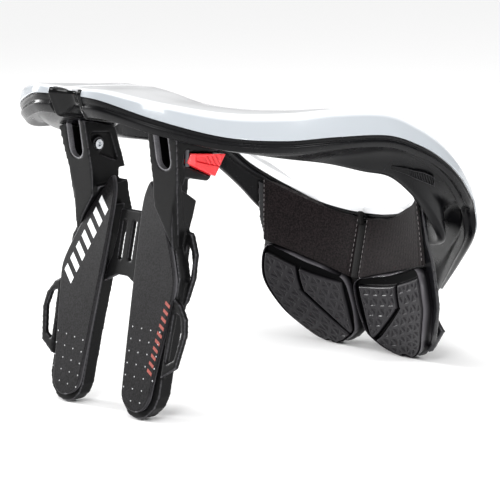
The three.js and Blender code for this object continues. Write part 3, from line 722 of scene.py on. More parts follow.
@dataclass
class Collar:
    """The collar's halves, each a white shell over a black body, and the saddle between them."""

    steps: int = 260
    tail_steps: tuple[float, ...] = (0.15, 5.0, 10.0, 13.95)
    panel_length: float = 44.0
    panel_rise: float = 1.7
    panel_sunk: float = 0.9
    rib_pitch: float = 2.8
    saddle_half: float = 13.7
    saddle_hollow: float = 6.4
    ridge_at: float = 12.3
    ridge_width: float = 1.1
    ridge_height: float = 1.1

    def build(self) -> None:
        """Builds both halves and the saddle."""
        white, black, smooth = SHELL_ABS.make(), BODY_NYLON.make(), SADDLE_TPE.make()
        # The ribbed panel takes the strut's finish, whose painted edge highlight lights the ribs'
        # crests
        grained = STRUT_NYLON.make()
        for side in Side:
            self.build_shell(side, white)
            self.build_body(side, black)
            self.build_panel(side, grained)
        self.build_saddle(smooth)

    def build_shell(self, side: Side, finish: bpy.types.Material) -> None:
        """The shell: its outer and inner lines make one closed ring at each place. At the back it
        runs on over the saddle to the parting line, without its lip. The UV map's v is the way from
        the rim as a share of the lip's height.

        Args:
            side: the wearer's side.
            finish: the white material.
        """
        lines = Sections(np.linspace(0.0, 1.0, self.steps))
        outer, inner = lines.shell_line(0.0), lines.shell_line(SHELL_THICKNESS)
        ring = np.stack(outer + inner[::-1], axis=1)
        radii = np.array([0.7, 5.0, 7.0, 14.0, 2.2, 0.8, 0.8, 1.0, 12.0, 5.0, 3.0, 0.7])
        tail_count, corner_steps = len(self.tail_steps), 7
        tail = np.repeat(ring[:1], tail_count, axis=0)
        tail[:, :, 0] = np.array(self.tail_steps)[:, None]
        # The lip's four corners fold in under the tail's edge, two outside and two inside
        tail[:, 0:2] = tail[:, 2:3] + np.array([[0.0, -0.5, -0.9], [0.0, -0.5, -0.3]])
        tail[:, 10:12] = tail[:, 9:10] + np.array([[0.0, -0.4, 0.2], [0.0, -0.5, 0.5]])
        rings = rounded(np.concatenate([tail, ring]), radii, corner_steps)
        rim = np.concatenate([tail[:, 0], lines.rim])
        along = np.concatenate([[0.0], np.cumsum(np.linalg.norm(np.diff(rim, axis=0), axis=1))])
        across = np.linalg.norm(rings - np.roll(rings, 1, axis=1), axis=2)
        across[:, 0] = 0.0
        gone = np.cumsum(across, axis=1)
        inside = np.arange(rings.shape[1]) >= corner_steps * len(outer)
        gone = np.where(inside[None, :], gone[:, -1:], gone)
        # The UV map's v places the lip's painted shade; the tail's v starts above 1.2, beyond that
        # shade
        lip = np.concatenate([np.repeat(lines.lip[:1], tail_count, axis=0), lines.lip])
        no_lip = (np.arange(len(rings)) < tail_count) * 1.2
        share = gone / lip + no_lip[:, None]
        along = np.broadcast_to(along[:, None] * 0.001, share.shape)
        uv = np.stack([along, share], axis=-1).reshape(-1, 2)
        points, faces = closed_tube(rings * np.array([side.value, 1.0, 1.0]))
        name, node = f"white_shell_{side.word}", f"collar_shell_{side.word}"
        piece(name, points, faces, finish, "brace", (node,), uv)

    def build_body(self, side: Side, finish: bpy.types.Material) -> None:
        """The body: a band with a groove and a bead under the shell's lip, a hollow underside and
        an inner wall. Its corners make one closed ring at each place along the collar.

        Args:
            side: the wearer's side.
            finish: the black material.
        """
        s = Sections(np.linspace(0.0, 1.0, self.steps))
        hidden = s.shell_line(SHELL_THICKNESS + SEAT_GAP + 0.2)
        foot = s.shifted(s.inner, -0.6, -5.0 - SEAT_GAP)
        lip_low = s.shifted(foot, 0.2, -4.0)
        wall_top = s.shifted(lip_low, s.dish * 6.9, -1.6)
        wall_foot = s.shifted(s.low, 6.0, 0.0)
        band_low = s.shifted(s.rim, -0.35 * s.band - 1.2, -s.band)
        flat_a = band_low + (wall_foot - band_low) * 0.3
        flat_b = band_low + (wall_foot - band_low) * 0.8
        under_two, under_three, under_four = s.shell_line(SHELL_THICKNESS / 2)[2:5]
        dish_a = s.shifted(under_two + (under_four - under_two) * 0.12, 0.0, -8.0)
        dish_b = s.shifted(under_three + (wall_top - under_three) * 0.45, 6.0, -3.2)
        hollow_b = flat_b + (dish_b - flat_b) * s.dish
        hollow_a = flat_a + (dish_a - flat_a) * s.dish
        flat_rise = 0.35 * s.band * (1.0 - s.dish)
        # Each corner with its radius: the top under the shell, the groove below its inner edge, the
        # wall, the hollow underside, the bead and the grooved band
        corners = [
            (hidden[1], 2.0), (hidden[2], 3.0), (hidden[3], 8.0), (hidden[4], 1.0),
            (s.shifted(foot, 2.8, 0.4), 0.3), (foot, 0.5), (s.shifted(foot, 0.1, -1.6), 0.8),
            (s.shifted(foot, 1.3, -2.3), 0.4), (s.shifted(foot, 0.1, -3.0), 0.8),
            (lip_low, 1.2), (wall_top, 1.5), (s.low, 2.2), (wall_foot, 3.0),
            (hollow_b, 9.0), (hollow_a, 6.0),
            (s.shifted(band_low, -7.4, flat_rise + 3.4 * s.dish), 1.0),
            (s.shifted(band_low, -5.2, flat_rise - 2.0 * s.dish), 1.5),
            (s.shifted(band_low, -2.9, flat_rise + 1.4 * s.dish), 1.0), (band_low, 1.2),
            (s.shifted(s.rim, -0.9, -0.52 * s.band), 1.6),
            (s.shifted(s.rim, -2.3, -0.34 * s.band), 0.7),
            (s.shifted(s.rim, -1.1, -0.2 * s.band), 0.9),
            (s.shifted(s.rim, -0.9, -SEAT_GAP), 0.3), (s.shifted(hidden[0], -0.2, 0.0), 0.3),
        ]
        ring = np.stack([corner for corner, _ in corners], axis=1)
        rings = rounded(ring, np.array([radius for _, radius in corners]), 5)
        points, faces = closed_tube(rings * np.array([side.value, 1.0, 1.0]))
        node = f"collar_body_{side.word}"
        piece(f"moulded_body_{side.word}", points, faces, finish, "brace", (node,))

    def build_panel(self, side: Side, finish: bpy.types.Material) -> None:
        """A plain raised panel on the inner wall: a thin rim round a sunk field of slanted ribs,
        which are max(0, sin) of the distance along, sheared by the way across.

        Args:
            side: the wearer's side.
            finish: the black material.
        """
        rows, columns = 220, 40
        lines = sample(PANEL_LINES, np.linspace(0.0, 1.0, rows))
        across = np.linspace(0.0, 1.0, columns)[None, :, None]
        face = lines[:, None, 0:3] * (1 - across) + lines[:, None, 3:6] * across
        along_mm = np.linspace(0.0, self.panel_length, rows)[:, None]
        width = np.linspace(3.5, 8.5, rows)[:, None]
        across_mm = across[..., 0] * width
        edge = np.minimum(np.minimum(across_mm, width - across_mm), self.panel_length - along_mm)
        ribbed = np.clip((edge - 0.9) / 0.35, 0.0, 1.0) * np.clip((along_mm - 14.0) / 1.0, 0.0, 1.0)
        sheared = along_mm + 0.5 * across_mm
        rib = np.clip(1.5 * np.sin(sheared * 2 * np.pi / self.rib_pitch), 0.0, 1.0)
        raised = np.clip(edge / 0.5, 0.0, 1.0) * np.clip(along_mm / 12.0, 0.0, 1.0)
        height = self.panel_rise * raised - ribbed * (self.panel_sunk - 0.8 * rib)
        way_out = np.array([0.93, -0.1, -0.36])
        points, faces = thick_grid(face + way_out * height[..., None], face - way_out * 0.8)
        name = f"ribbed_panel_{side.word}"
        placed = points * [side.value, 1, 1]
        panel = piece(name, placed, faces, finish, "brace", ())
        turn_outwards(panel)

    def build_saddle(self, finish: bpy.types.Material) -> None:
        """The saddle: the collar's end section carried across x, its rim hollowed by the square of
        a cosine between two round ridges, and its top sunk below the shells.

        Args:
            finish: the dark material.
        """
        half = self.saddle_half
        x = np.linspace(-half, half, 111)
        hollow = self.saddle_hollow * np.cos(np.pi / 2 * np.clip(x / (half - 1.6), -1, 1)) ** 2
        from_ridge = (np.abs(x) - self.ridge_at) / self.ridge_width
        sink = (hollow - self.ridge_height * np.exp(-(from_ridge ** 2)))[:, None]
        s = Sections(np.zeros_like(x))
        crease = s.shifted(s.rim, -0.25 * s.lip, s.lip)
        below = s.shell_line(SHELL_THICKNESS + SEAT_GAP)
        line = [
            s.shifted(s.rim, -sink, 0.0), s.shifted(crease, -sink, -0.3 * sink), *below[2:6],
            s.shifted(s.low, 0.5 * sink, 0.0), s.shifted(s.low, 6.0, 0.5 * sink),
            s.shifted(s.rim, -0.35 * s.band - 1.2 - 0.5 * sink, -s.band + sink),
        ]
        ring = np.stack(line, axis=1)
        ring[:, :, 0] = x[:, None]
        radii = np.array([3.0, 3.0, 3.0, 9.0, 3.0, 2.0, 2.0, 3.0, 3.0])
        points, faces = closed_tube(rounded(ring, radii, 8))
        piece("smooth_saddle", points, faces, finish, "brace", ("back_saddle",))


# Levels of the chest part from the top down, as shares of CHEST_HALF_WIDTH (x), CHEST_BACK (y and
# bow) and CHEST_TOP (z and sag of the middle)
# columns: inner x, y, z; outer x, y, z; bow; sag
CLOTH_LEVELS = np.array([
    [0.042, 1.310, 0.790, 0.930, 0.995, 0.990, 0.100, -0.050],
    [0.042, 1.278, 0.680, 0.948, 1.010, 0.865, 0.080, -0.035],
    [0.042, 1.240, 0.560, 0.965, 1.024, 0.735, 0.055, -0.015],
    [0.042, 1.205, 0.447, 0.978, 1.038, 0.612, 0.030, 0],
])
PAD_LEVELS = np.array([
    [0.036, 1.154, 0.436, 0.968, 1.018, 0.600, 0.030, 0],
    [0.022, 1.190, 0.357, 1.000, 1.032, 0.446, 0.030, 0],
    [0.017, 1.233, 0.268, 0.994, 1.062, 0.357, 0.035, 0],
    [0.032, 1.275, 0.179, 0.937, 1.114, 0.268, 0.035, 0],
    [0.070, 1.313, 0.107, 0.860, 1.186, 0.179, 0.030, 0],
    [0.200, 1.350, 0.045, 0.748, 1.295, 0.089, 0.020, 0],
    [0.320, 1.380, 0.012, 0.640, 1.365, 0.030, 0.010, 0],
    [0.420, 1.405, 0, 0.520, 1.405, 0, 0, 0],
])


def chest_grid(levels: np.ndarray, rows: int, columns: int, corner: float = 0.0) -> np.ndarray:
    """The chest face: each level runs from its inner to its outer end, bowed by 4u(1-u). Near the
    top each end is drawn in by c - sqrt(c^2 - (c - d)^2), d being the way down, which rounds the
    two corners.

    Args:
        levels: table of levels.
        rows: rows of the grid.
        columns: columns of the grid.
        corner: radius c of the top corners in millimetres.

    Returns:
        (rows, columns, 3) in millimetres.
    """
    way = np.linspace(0.0, 1.0, rows)
    level = sample(levels, way)[:, None, :]
    width = np.abs(level[:, 0, 3] - level[:, 0, 0]) * CHEST_HALF_WIDTH
    tall = (levels[0, 2] - levels[-1, 2] + levels[0, 5] - levels[-1, 5]) / 2 * CHEST_TOP
    left = np.clip(corner - way * tall, 0.0, corner)
    drawn = (corner - np.sqrt(np.maximum(corner**2 - left**2, 0.0))) / np.maximum(width, 1.0)
    u = drawn[:, None] + (1 - 2 * drawn[:, None]) * np.linspace(0.0, 1.0, columns)[None, :]
    arc = 4 * u * (1 - u)
    x = (level[..., 0] + (level[..., 3] - level[..., 0]) * u) * CHEST_HALF_WIDTH
    y = (level[..., 1] + (level[..., 4] - level[..., 1]) * u + level[..., 6] * arc) * CHEST_BACK
    z = (level[..., 2] + (level[..., 5] - level[..., 2]) * u + level[..., 7] * arc) * CHEST_TOP
    return np.stack([x, y, z], axis=-1)


def grid_normals(grid: np.ndarray) -> np.ndarray:
    """Unit normals of a grid, the cross product of its two directions turned to the chest (-y).

    Args:
        grid: (rows, columns, 3) points.

    Returns:
        (rows, columns, 3) normals.
    """
    along = np.gradient(grid, axis=0)
    across = np.gradient(grid, axis=1)
    normal = np.cross(along, across)
    normal /= np.linalg.norm(normal, axis=2, keepdims=True) + 1e-9
    return normal * np.where(normal[..., 1:2] > 0, -1.0, 1.0)


def thick_grid(face: np.ndarray, back: np.ndarray) -> tuple[np.ndarray, list]:
    """A closed body between two grids of equal size, with a wall round their edges."""
    rings = np.concatenate([face, back[:, ::-1]], axis=1)
    return closed_tube(rings)


@dataclass
class ChestPart:
    """The padded front: cloth liners, moulded pads and the tape on the seam."""

    cloth_thickness: float = 3.0
    pad_thickness: float = 8.0
    corner: float = 6.0
    top_channel: float = 8.4
    inner_channel: float = 7.6
    channel_depth: float = 1.9
    island_rise: float = 0.9
    rim_rise: float = 0.9
    tread_side: float = 8.8
    tread_depth: float = 0.6
    edge_land: float = 2.7
    groove_half: float = 1.35
    bend_down: float = 24.0
    bend_in: float = 42.5
    stitch_length: float = 2.0
    stitch_pitch: float = 3.3
    thread_radius: float = 0.22
    tape_half: float = 2.85

    def build(self) -> None:
        """Builds liners, pads, seam tape and stitches."""
        knit, eva = LINING_KNIT.make(), PAD_EVA.make()
        tape, thread = TAPE_WEAVE.make(), THREAD.make()
        for side in Side:
            self.build_liner(side, knit, thread)
            self.build_pad(side, eva)
        self.build_tape(tape)
        self.build_tie(tape)

    def stitch(
        self, name: str, line: np.ndarray, lift: np.ndarray, thread: bpy.types.Material,
        flip: int,
    ) -> None:
        """A row of stitches along a line.

        Args:
            name: the row's name.
            line: (n, 3) points close together.
            lift: (3,) way out of the cloth.
            thread: the thread's material.
            flip: 1 for the wearer's right, -1 for the left.
        """
        gone = np.concatenate([[0.0], np.cumsum(np.linalg.norm(np.diff(line, axis=0), axis=1))])
        starts = np.arange(1.0, gone[-1] - self.stitch_length - 0.5, self.stitch_pitch)
        first, last = (
            np.stack([np.interp(where, gone, line[:, k]) for k in range(3)], axis=1)
            for where in (starts, starts + self.stitch_length)
        )
        points, faces = capsules(first + lift, last + lift, self.thread_radius)
        if flip < 0:
            faces = [face[::-1] for face in faces]
        piece(name, points * [flip, 1, 1], faces, thread, "brace", ())

    def build_liner(
        self, side: Side, knit: bpy.types.Material, thread: bpy.types.Material,
    ) -> None:
        """The cloth: the chest face, rolled back at its edges, with stitches along each side.

        Args:
            side: the wearer's side.
            knit: the cloth's material.
            thread: the stitches' material.
        """
        rows, columns = 80, 110
        grid = chest_grid(CLOTH_LEVELS, rows, columns)
        normal = grid_normals(grid)
        u = np.linspace(0, 1, columns)[None, :]
        edge_mm = np.minimum(u, 1 - u) * 66.0
        roll = -1.0 * np.exp(-edge_mm / 0.9)
        hem = -0.25 * np.exp(-(((edge_mm - 2.2) / 0.7) ** 2))
        face = grid + normal * (roll + hem)[..., None]
        back = grid + np.array([0.0, self.cloth_thickness, 0.0])
        points, faces = thick_grid(face * [side.value, 1, 1], back * [side.value, 1, 1])
        name, node = f"knit_liner_{side.word}", f"cloth_liner_{side.word}"
        liner = piece(name, points, faces, knit, "brace", (node,))
        auto_smooth(liner, 50.0)
        lift = np.array([0.0, -0.05, 0.0])
        for place, column in (("inner", 2), ("outer", columns - 2)):
            name = f"liner_stitches_{place}_{side.word}"
            self.stitch(name, face[:, column], lift, thread, side.value)

    def pad_relief(self, mm_in: np.ndarray, mm_down: np.ndarray, edge: np.ndarray) -> np.ndarray:
        """Height of the pad's face: a thin rim, a channel inside it, and two raised islands with a
        tread, parted by a bent groove. Every wall is a logistic step.

        Args:
            mm_in: distance from the seam.
            mm_down: distance from the top edge.
            edge: distance from the nearest edge.

        Returns:
            height in millimetres.
        """
        rim = np.exp(-(((edge - 1.0) / 0.75) ** 4)) * (self.rim_rise + self.channel_depth)
        from_top, from_seam = mm_down - self.top_channel, mm_in - self.inner_channel
        from_rim = edge - self.edge_land
        island = logistic(from_top, 0.22) * logistic(from_seam, 0.22) * logistic(from_rim, 0.25)
        above_bend = mm_down < self.bend_down
        slant = 1.3
        straight = self.bend_in + (self.bend_down - mm_down) * 0.08
        slanted = self.bend_in - (mm_down - self.bend_down) * slant
        groove_in = np.where(above_bend, straight, slanted)
        lean = np.where(above_bend, 1.0, 1.0 / math.hypot(1.0, slant))
        from_groove = np.abs(mm_in - groove_in) * lean - self.groove_half
        raised = island * (1.0 - logistic(-from_groove, 0.18))
        height = raised * (self.channel_depth + self.island_rise)
        border = np.minimum.reduce([from_top, from_seam, from_rim, from_groove])
        treaded = logistic(border - 2.2, 0.2)
        return height + rim - self.channel_depth - self.tread(mm_in, mm_down) * raised * treaded

    def tread(self, x: np.ndarray, z: np.ndarray) -> np.ndarray:
        """Small triangles sunk into the islands. Three families of parallel lines, 60 degrees from
        each other, part the face into triangles, and each is sunk where the nearest line is
        further than a land's half width.

        Args:
            x: place along the pad.
            z: place down the pad.

        Returns:
            depth in millimetres.
        """
        root = math.sqrt(3.0) / 2.0
        tall = self.tread_side * root
        families = np.stack([z, root * x + 0.5 * z, root * x - 0.5 * z]) / tall
        inside = (np.abs(families - np.round(families)) * tall).min(axis=0)
        return self.tread_depth * np.clip((inside - 0.95) / 0.45, 0.0, 1.0)

    def build_pad(self, side: Side, eva: bpy.types.Material) -> None:
        """The pad: the chest face raised along its normals by the relief.

        Args:
            side: the wearer's side.
            eva: the rubber material.
        """
        rows, columns = 212, 230
        grid = chest_grid(PAD_LEVELS, rows, columns, self.corner)
        normal = grid_normals(grid)
        step_in = np.linalg.norm(np.diff(grid, axis=1), axis=2)
        mm_in = np.concatenate([np.zeros((rows, 1)), np.cumsum(step_in, axis=1)], axis=1)
        mm_out = mm_in[:, -1:] - mm_in
        step_down = np.linalg.norm(np.diff(grid, axis=0), axis=2)
        mm_down = np.concatenate([np.zeros((1, columns)), np.cumsum(step_down, axis=0)], axis=0)
        mm_up = mm_down[-1:] - mm_down
        edge = np.minimum(np.minimum(mm_in, mm_out), np.minimum(mm_down, mm_up))
        relief = self.pad_relief(grid[..., 0], mm_down, edge)
        roll = -2.2 * np.exp(-edge / 0.6)
        face = grid + normal * (relief + roll)[..., None]
        back = grid + np.array([0.0, self.pad_thickness, 0.0])
        points, faces = thick_grid(face * [side.value, 1, 1], back * [side.value, 1, 1])
        # The UV map's v is the relief's height, which paints shade into the channels
        height = np.concatenate([relief, np.zeros_like(relief)], axis=1).ravel()
        # The UV map's u is a painted highlight along the crest of the rim, kept off the bottom edge
        rim_highlight = np.exp(-(((edge - 0.75) / 0.4) ** 2)) * (mm_up > 3.0)
        rim_highlight = np.concatenate([rim_highlight, np.zeros_like(rim_highlight)], axis=1).ravel()
        uv = np.stack([rim_highlight, height * 0.001], axis=1)
        name, node = f"moulded_pad_{side.word}", f"chest_pad_{side.word}"
        pad = piece(name, points, faces, eva, "brace", (node,), uv)
        auto_smooth(pad, 50.0)

    def build_tape(self, tape: bpy.types.Material) -> None:
        """The seam tape: a strip down the inner ends of the cloth, which narrows to pass behind the
        pads.

        Args:
            tape: the tape's material.
        """
        rows = 60
        level = sample(CLOTH_LEVELS, np.linspace(0.12, 1.0, rows))
        y, z = level[:, 1] * CHEST_BACK, level[:, 2] * CHEST_TOP
        y, z = np.append(y, [y[-1] + 0.2, y[-1] + 1.6]), np.append(z, [z[-1] - 0.3, z[-1] - 7.0])
        half = np.append(np.full(rows, self.tape_half), [2.2, 2.2])
        # columns: x as a share of the half width; y behind the cloth's face
        section = np.array([
            [-1.0, 0.75], [-0.8, 0.5], [0.8, 0.5], [1.0, 0.75], [1.0, 3.2], [-1.0, 3.2],
        ])
        x = section[:, 0] * half[:, None]
        tall = np.broadcast_to(z[:, None], x.shape)
        points, faces = closed_tube(np.stack([x, y[:, None] + section[:, 1], tall], axis=-1))
        strip = piece("seam_tape", points, faces, tape, "brace", ("seam_strip",))
        auto_smooth(strip, 40.0)

    def build_tie(self, tape: bpy.types.Material) -> None:
        """The tie at the seam's head: a pinched bundle of tape, its folds a cosine six times round.

        Args:
            tape: the tape's material.
        """
        foot, head = (corner * 1000.0 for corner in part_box("seam_tie"))
        middle = np.array([0.0, (foot.y + head.y) / 2 - NECK_Y, (foot.z + head.z) / 2])
        reach = (head.z - foot.z) / 2
        rows, sides = 25, 48
        way = np.linspace(-1.0, 1.0, rows)
        wide = np.interp(way, [-1, -0.7, -0.1, 0.2, 0.8, 1], [1.3, 2.5, 1.8, 1.7, 2.7, 1.5])
        angle = np.arange(sides) * 2 * np.pi / sides
        fold = 1.0 + 0.12 * np.cos(6 * angle[None] + way[:, None] * 2.0)
        x = wide[:, None] * fold * np.cos(angle)
        y = wide[:, None] * fold * np.sin(angle) * 0.6
        z = np.broadcast_to(way[:, None] * reach, x.shape)
        points, faces = closed_tube(np.stack([x, y, z], axis=-1) + middle)
        piece("tied_tape", points, faces, tape, "brace", ("seam_tie",))


def wing_plane(z: np.ndarray) -> np.ndarray:
    """The y of the wing's back plane at each height."""
    return -WING_STANDOFF + WING_LEAN * (z - WING_REF_HEIGHT)


# Back face of the right strut's arm beside its slot, from the foot up, in millimetres
# columns: y; z
ARM_BACK = np.array([[-106.0, 138.0], [-108.0, 150.0], [-111.4, 172.0]])
ARM_SLOT_MIDDLE = 38.1
ARM_SLOT_RADIUS = 6.0
ARM_SLOT_FOOT = 150.0
ARM_SLOT_TOP = 170.5

# Outline [x, z] of the right cover plate, as shares of WING_HALF_SPAN and WING_LENGTH
PLATE_OUTLINE = np.array([
    [0.332, 1.0], [0.254, 0.927], [0.246, 0.861], [0.262, 0.73], [0.284, 0.584], [0.334, 0.292],
    [0.376, 0.088], [0.44, 0.055], [0.55, 0.035], [0.67, 0.031], [0.77, 0.047], [0.848, 0.088],
    [0.86, 0.146], [0.906, 0.292], [0.958, 0.438], [1.0, 0.58], [0.914, 0.657], [0.816, 0.73],
    [0.704, 0.803], [0.568, 0.876], [0.47, 0.927],
])


@dataclass
class RearPart:
    """The struts, the wings' cover plates with their printed marks, the bridge, tabs and bolts."""

    voxel_mm: float = 0.7
    plate_edge: float = 1.1
    dot_radius: float = 0.5
    dot_pitch_x: float = 7.7
    dot_pitch_z: float = 6.9
    dot_first_x: float = 20.4
    dot_first_z: float = 10.5
    ink_low: float = 0.02
    bar_slant: float = 0.35
    arrow_depth: float = 0.6
    lip_rise: float = 0.5
    lip_depth: float = 4.0

    def build(self) -> None:
        """Builds every piece behind the neck."""
        strut, plate, lip = STRUT_NYLON.make(), PLATE_NYLON.make(), LIP_HIGHLIGHT_NYLON.make()
        red, steel = TAB_ACETAL.make(), PLATED_STEEL.make()
        white_ink, dot_ink, red_ink = WHITE_INK.make(), DOT_INK.make(), RED_INK.make()
        for side in Side:
            word = side.word
            moulded_copy(
                f"rear_strut_{word}", f"moulded_strut_{word}", strut, "brace",
                self.voxel_mm, 6,
            )
            self.build_slot_lip(side, lip)
            self.build_plate(side, plate)
            self.build_dots(side, dot_ink)
            self.dress(f"release_pin_{word}", strut)
            self.dress(f"strut_bolt_{word}", steel)
            self.build_tab(side, red)
        moulded_copy("wing_bridge", "moulded_bridge", strut, "brace", 0.6, 4)
        self.build_bars(Side.LEFT, white_ink, ((-43.2, 71.0), (-18.6, 120.5)), 7, 10.0, 4.2)
        self.build_bars(Side.RIGHT, red_ink, ((39.6, 26.5), (46.8, 70.0)), 10, 4.4, 1.8)

    def dress(self, node: str, finish: bpy.types.Material) -> None:
        """Gives a CAD node its material.

        Args:
            node: the CAD node.
            finish: the material.
        """
        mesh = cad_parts[node].data
        mesh.materials.clear()
        mesh.materials.append(finish)

    def build_slot_lip(self, side: Side, finish: bpy.types.Material) -> None:
        """The lip in the slot of the strut's arm: a flat band carried down one wall, round the half
        circle of the slot's foot and up the other wall. Its light grey is a painted highlight.

        Args:
            side: the wearer's side.
            finish: the lip's material, light grey as a painted highlight.
        """
        turn = np.linspace(np.pi, 2 * np.pi, 25)
        climb = np.linspace(ARM_SLOT_TOP, ARM_SLOT_FOOT, 8)[:-1]
        one, none = np.ones(len(climb)), np.zeros(len(climb))
        across = np.concatenate([-one, np.cos(turn), one])
        down = np.concatenate([none, np.sin(turn), none])
        height = np.concatenate([climb, np.full(len(turn), ARM_SLOT_FOOT), climb[::-1]])
        # The band's four corners: two sunk in the slot's wall and two out of it
        radius = ARM_SLOT_RADIUS + np.array([0.3, 0.3, -self.lip_rise, -self.lip_rise])
        depth = np.array([0.35, self.lip_depth, self.lip_depth, 0.35])
        x = ARM_SLOT_MIDDLE + across[:, None] * radius
        z = height[:, None] + down[:, None] * radius
        y = np.interp(z, ARM_BACK[:, 1], ARM_BACK[:, 0]) + depth
        points, faces = closed_tube(np.stack([x, y, z], axis=-1) * [side.value, 1.0, 1.0])
        name = f"slot_lip_{side.word}"
        lip = piece(name, points, faces, finish, "brace", ())
        turn_outwards(lip)
        auto_smooth(lip, 40.0)

    def build_plate(self, side: Side, finish: bpy.types.Material) -> None:
        """The cover plate: a smooth closed outline, drawn in towards its middle in rings whose
        height falls off as a quarter circle at the edge.

        Args:
            side: the wearer's side.
            finish: the plate's material.
        """
        outline = PLATE_OUTLINE * [WING_HALF_SPAN, WING_LENGTH]
        flat = np.concatenate([outline, np.zeros((len(outline), 1))], axis=1)[None]
        curve = rounded(flat, np.full(len(outline), 9.0), 8)[0][:, :2]
        inward = np.roll(curve, -1, axis=0) - np.roll(curve, 1, axis=0)
        inward = np.stack([-inward[:, 1], inward[:, 0]], axis=1)
        inward /= np.linalg.norm(inward, axis=1, keepdims=True) + 1e-9
        centre = curve.mean(0)
        inward *= np.sign(((centre - curve) * inward).sum(1, keepdims=True).mean())
        radius = self.plate_edge
        rings = [self.on_wing(curve, WING_PLATE_THICKNESS)]
        for turn in np.linspace(0.0, np.pi / 2, 6):
            shifted = curve + inward * radius * (1 - math.cos(turn))
            rings.append(self.on_wing(shifted, radius * (1 - math.sin(turn))))
        edge = curve + inward * radius
        for share in (0.97, 0.9):
            shrunk = self.spine(edge) * (1 - share) + edge * share
            rings.append(self.on_wing(shrunk, 0.0))
        points, faces = closed_tube(np.stack(rings) * [side.value, 1.0, 1.0])
        name, node = f"cover_plate_{side.word}", f"wing_plate_{side.word}"
        plate = piece(name, points, faces, finish, "brace", (node,))
        auto_smooth(plate, 40.0)

    def spine(self, curve: np.ndarray) -> np.ndarray:
        """The point of the plate's middle line beside each point of its outline.

        Args:
            curve: (n, 2) points [x, z].

        Returns:
            (n, 2) points [x, z].
        """
        z = np.clip(curve[:, 1], 20.0, 118.0)
        middle = np.interp(z, [20.0, 60.0, 80.0, 118.0], [30.0, 31.5, 32.0, 20.5])
        return np.stack([middle, z], axis=1)

    def on_wing(self, flat: np.ndarray, inset: float) -> np.ndarray:
        """Points [x, z] of any grid laid on the wing's plane, inset millimetres in front of it."""
        return np.stack([flat[..., 0], wing_plane(flat[..., 1]) + inset, flat[..., 1]], axis=-1)

    def build_dots(self, side: Side, ink: bpy.types.Material) -> None:
        """The dot grid: small domes in rows of four and five on the lower part of the plate.

        Args:
            side: the wearer's side.
            ink: the dots' material.
        """
        row_count, lean = (5, 0.1) if side is Side.LEFT else (7, 0.0)
        columns = np.arange(4) * self.dot_pitch_x + self.dot_first_x
        rows = np.arange(row_count) * self.dot_pitch_z + self.dot_first_z
        x, z = np.meshgrid(columns, rows)
        z = (z + (x - self.dot_first_x) * lean).ravel()
        x = x.ravel()
        # The grid's lower outer corner stays bare, along a slanted line
        shown = x < 20.5 + (z + 12.0) * 0.75
        sides = 10
        angle = np.arange(sides) * 2 * np.pi / sides
        rim = np.stack([np.cos(angle), np.sin(angle)], axis=1) * self.dot_radius
        flat = np.stack([x[shown], z[shown]], axis=1)[:, None, :] + rim[None]
        drawn = flat * 0.55 + flat.mean(1, keepdims=True) * 0.45
        foot, head = self.on_wing(flat, self.ink_low), self.on_wing(drawn, -0.12)
        points = np.concatenate([foot, head], axis=1)
        base = np.arange(len(points))[:, None] * 2 * sides
        k = np.arange(sides)
        quads = np.stack([k, (k + 1) % sides, (k + 1) % sides + sides, k + sides], axis=1)
        faces = (base[:, :, None] + quads[None]).reshape(-1, 4).tolist()
        faces += (base + sides + k[None]).tolist()
        if side is Side.LEFT:
            faces = [face[::-1] for face in faces]
        placed = points.reshape(-1, 3) * [side.value, 1, 1]
        piece(f"plate_dots_{side.word}", placed, faces, ink, "brace", ())

    def build_bars(
        self, side: Side, ink: bpy.types.Material, line: tuple, count: int,
        width: float, bar: float,
    ) -> None:
        """Plain slanted bars in a row along a line: parallelograms a tenth of a millimetre thick.

        Args:
            side: the wearer's side.
            ink: the bars' material.
            line: first and last point of the row's middle, [x, z].
            count: how many bars.
            width: length of a bar across the row.
            bar: thickness of a bar along the row.
        """
        start, end = np.array(line[0]), np.array(line[1])
        along = (end - start) / np.linalg.norm(end - start)
        slanted = np.array([-along[1], along[0]]) + self.bar_slant * along
        middles = start[None] + (end - start)[None] * ((np.arange(count) + 0.5) / count)[:, None]
        corners = np.array([[-0.5, -0.5], [0.5, -0.5], [0.5, 0.5], [-0.5, 0.5]])
        shift = corners[:, :1] * bar * along[None] + corners[:, 1:] * width * slanted[None]
        flat = middles[:, None, :] + shift[None]
        points = np.concatenate([self.on_wing(flat, 0.05), self.on_wing(flat, -0.08)], axis=1)
        base = np.arange(count)[:, None, None] * 8
        box = np.array([
            [0, 1, 5, 4], [1, 2, 6, 5], [2, 3, 7, 6], [3, 0, 4, 7], [4, 5, 6, 7], [3, 2, 1, 0],
        ])
        faces = (base + box[None]).reshape(-1, 4).tolist()
        bars = piece(
            f"plate_bars_{side.word}", points.reshape(-1, 3), faces, ink, "brace", (),
            flat=True,
        )
        turn_outwards(bars)

    def build_tab(self, side: Side, finish: bpy.types.Material) -> None:
        """The red tab: the CAD node's form with rounded edges.

        Args:
            side: the wearer's side.
            finish: the red material.
        """
        node = f"release_tab_{side.word}"
        tab = moulded_copy(node, f"red_tab_{side.word}", finish, node, 0.25, 5)
        self.sink_arrow(tab, side)

    def sink_arrow(self, tab: bpy.types.Object, side: Side) -> None:
        """Sinks a panel with raised slanted ribs into the tab's outer face, along its own outline.

        Args:
            tab: the tab's object.
            side: the wearer's side.
        """
        mesh = tab.data
        place = np.empty(len(mesh.vertices) * 3)
        mesh.vertices.foreach_get("co", place)
        place = place.reshape(-1, 3)
        x, y, z = (place * 1000.0).T
        outward = x * side.value
        outer = outward > outward.max() - 2.6
        share_y = (y - y.min()) / np.ptp(y)
        share_z = (z - z.min()) / np.ptp(z)
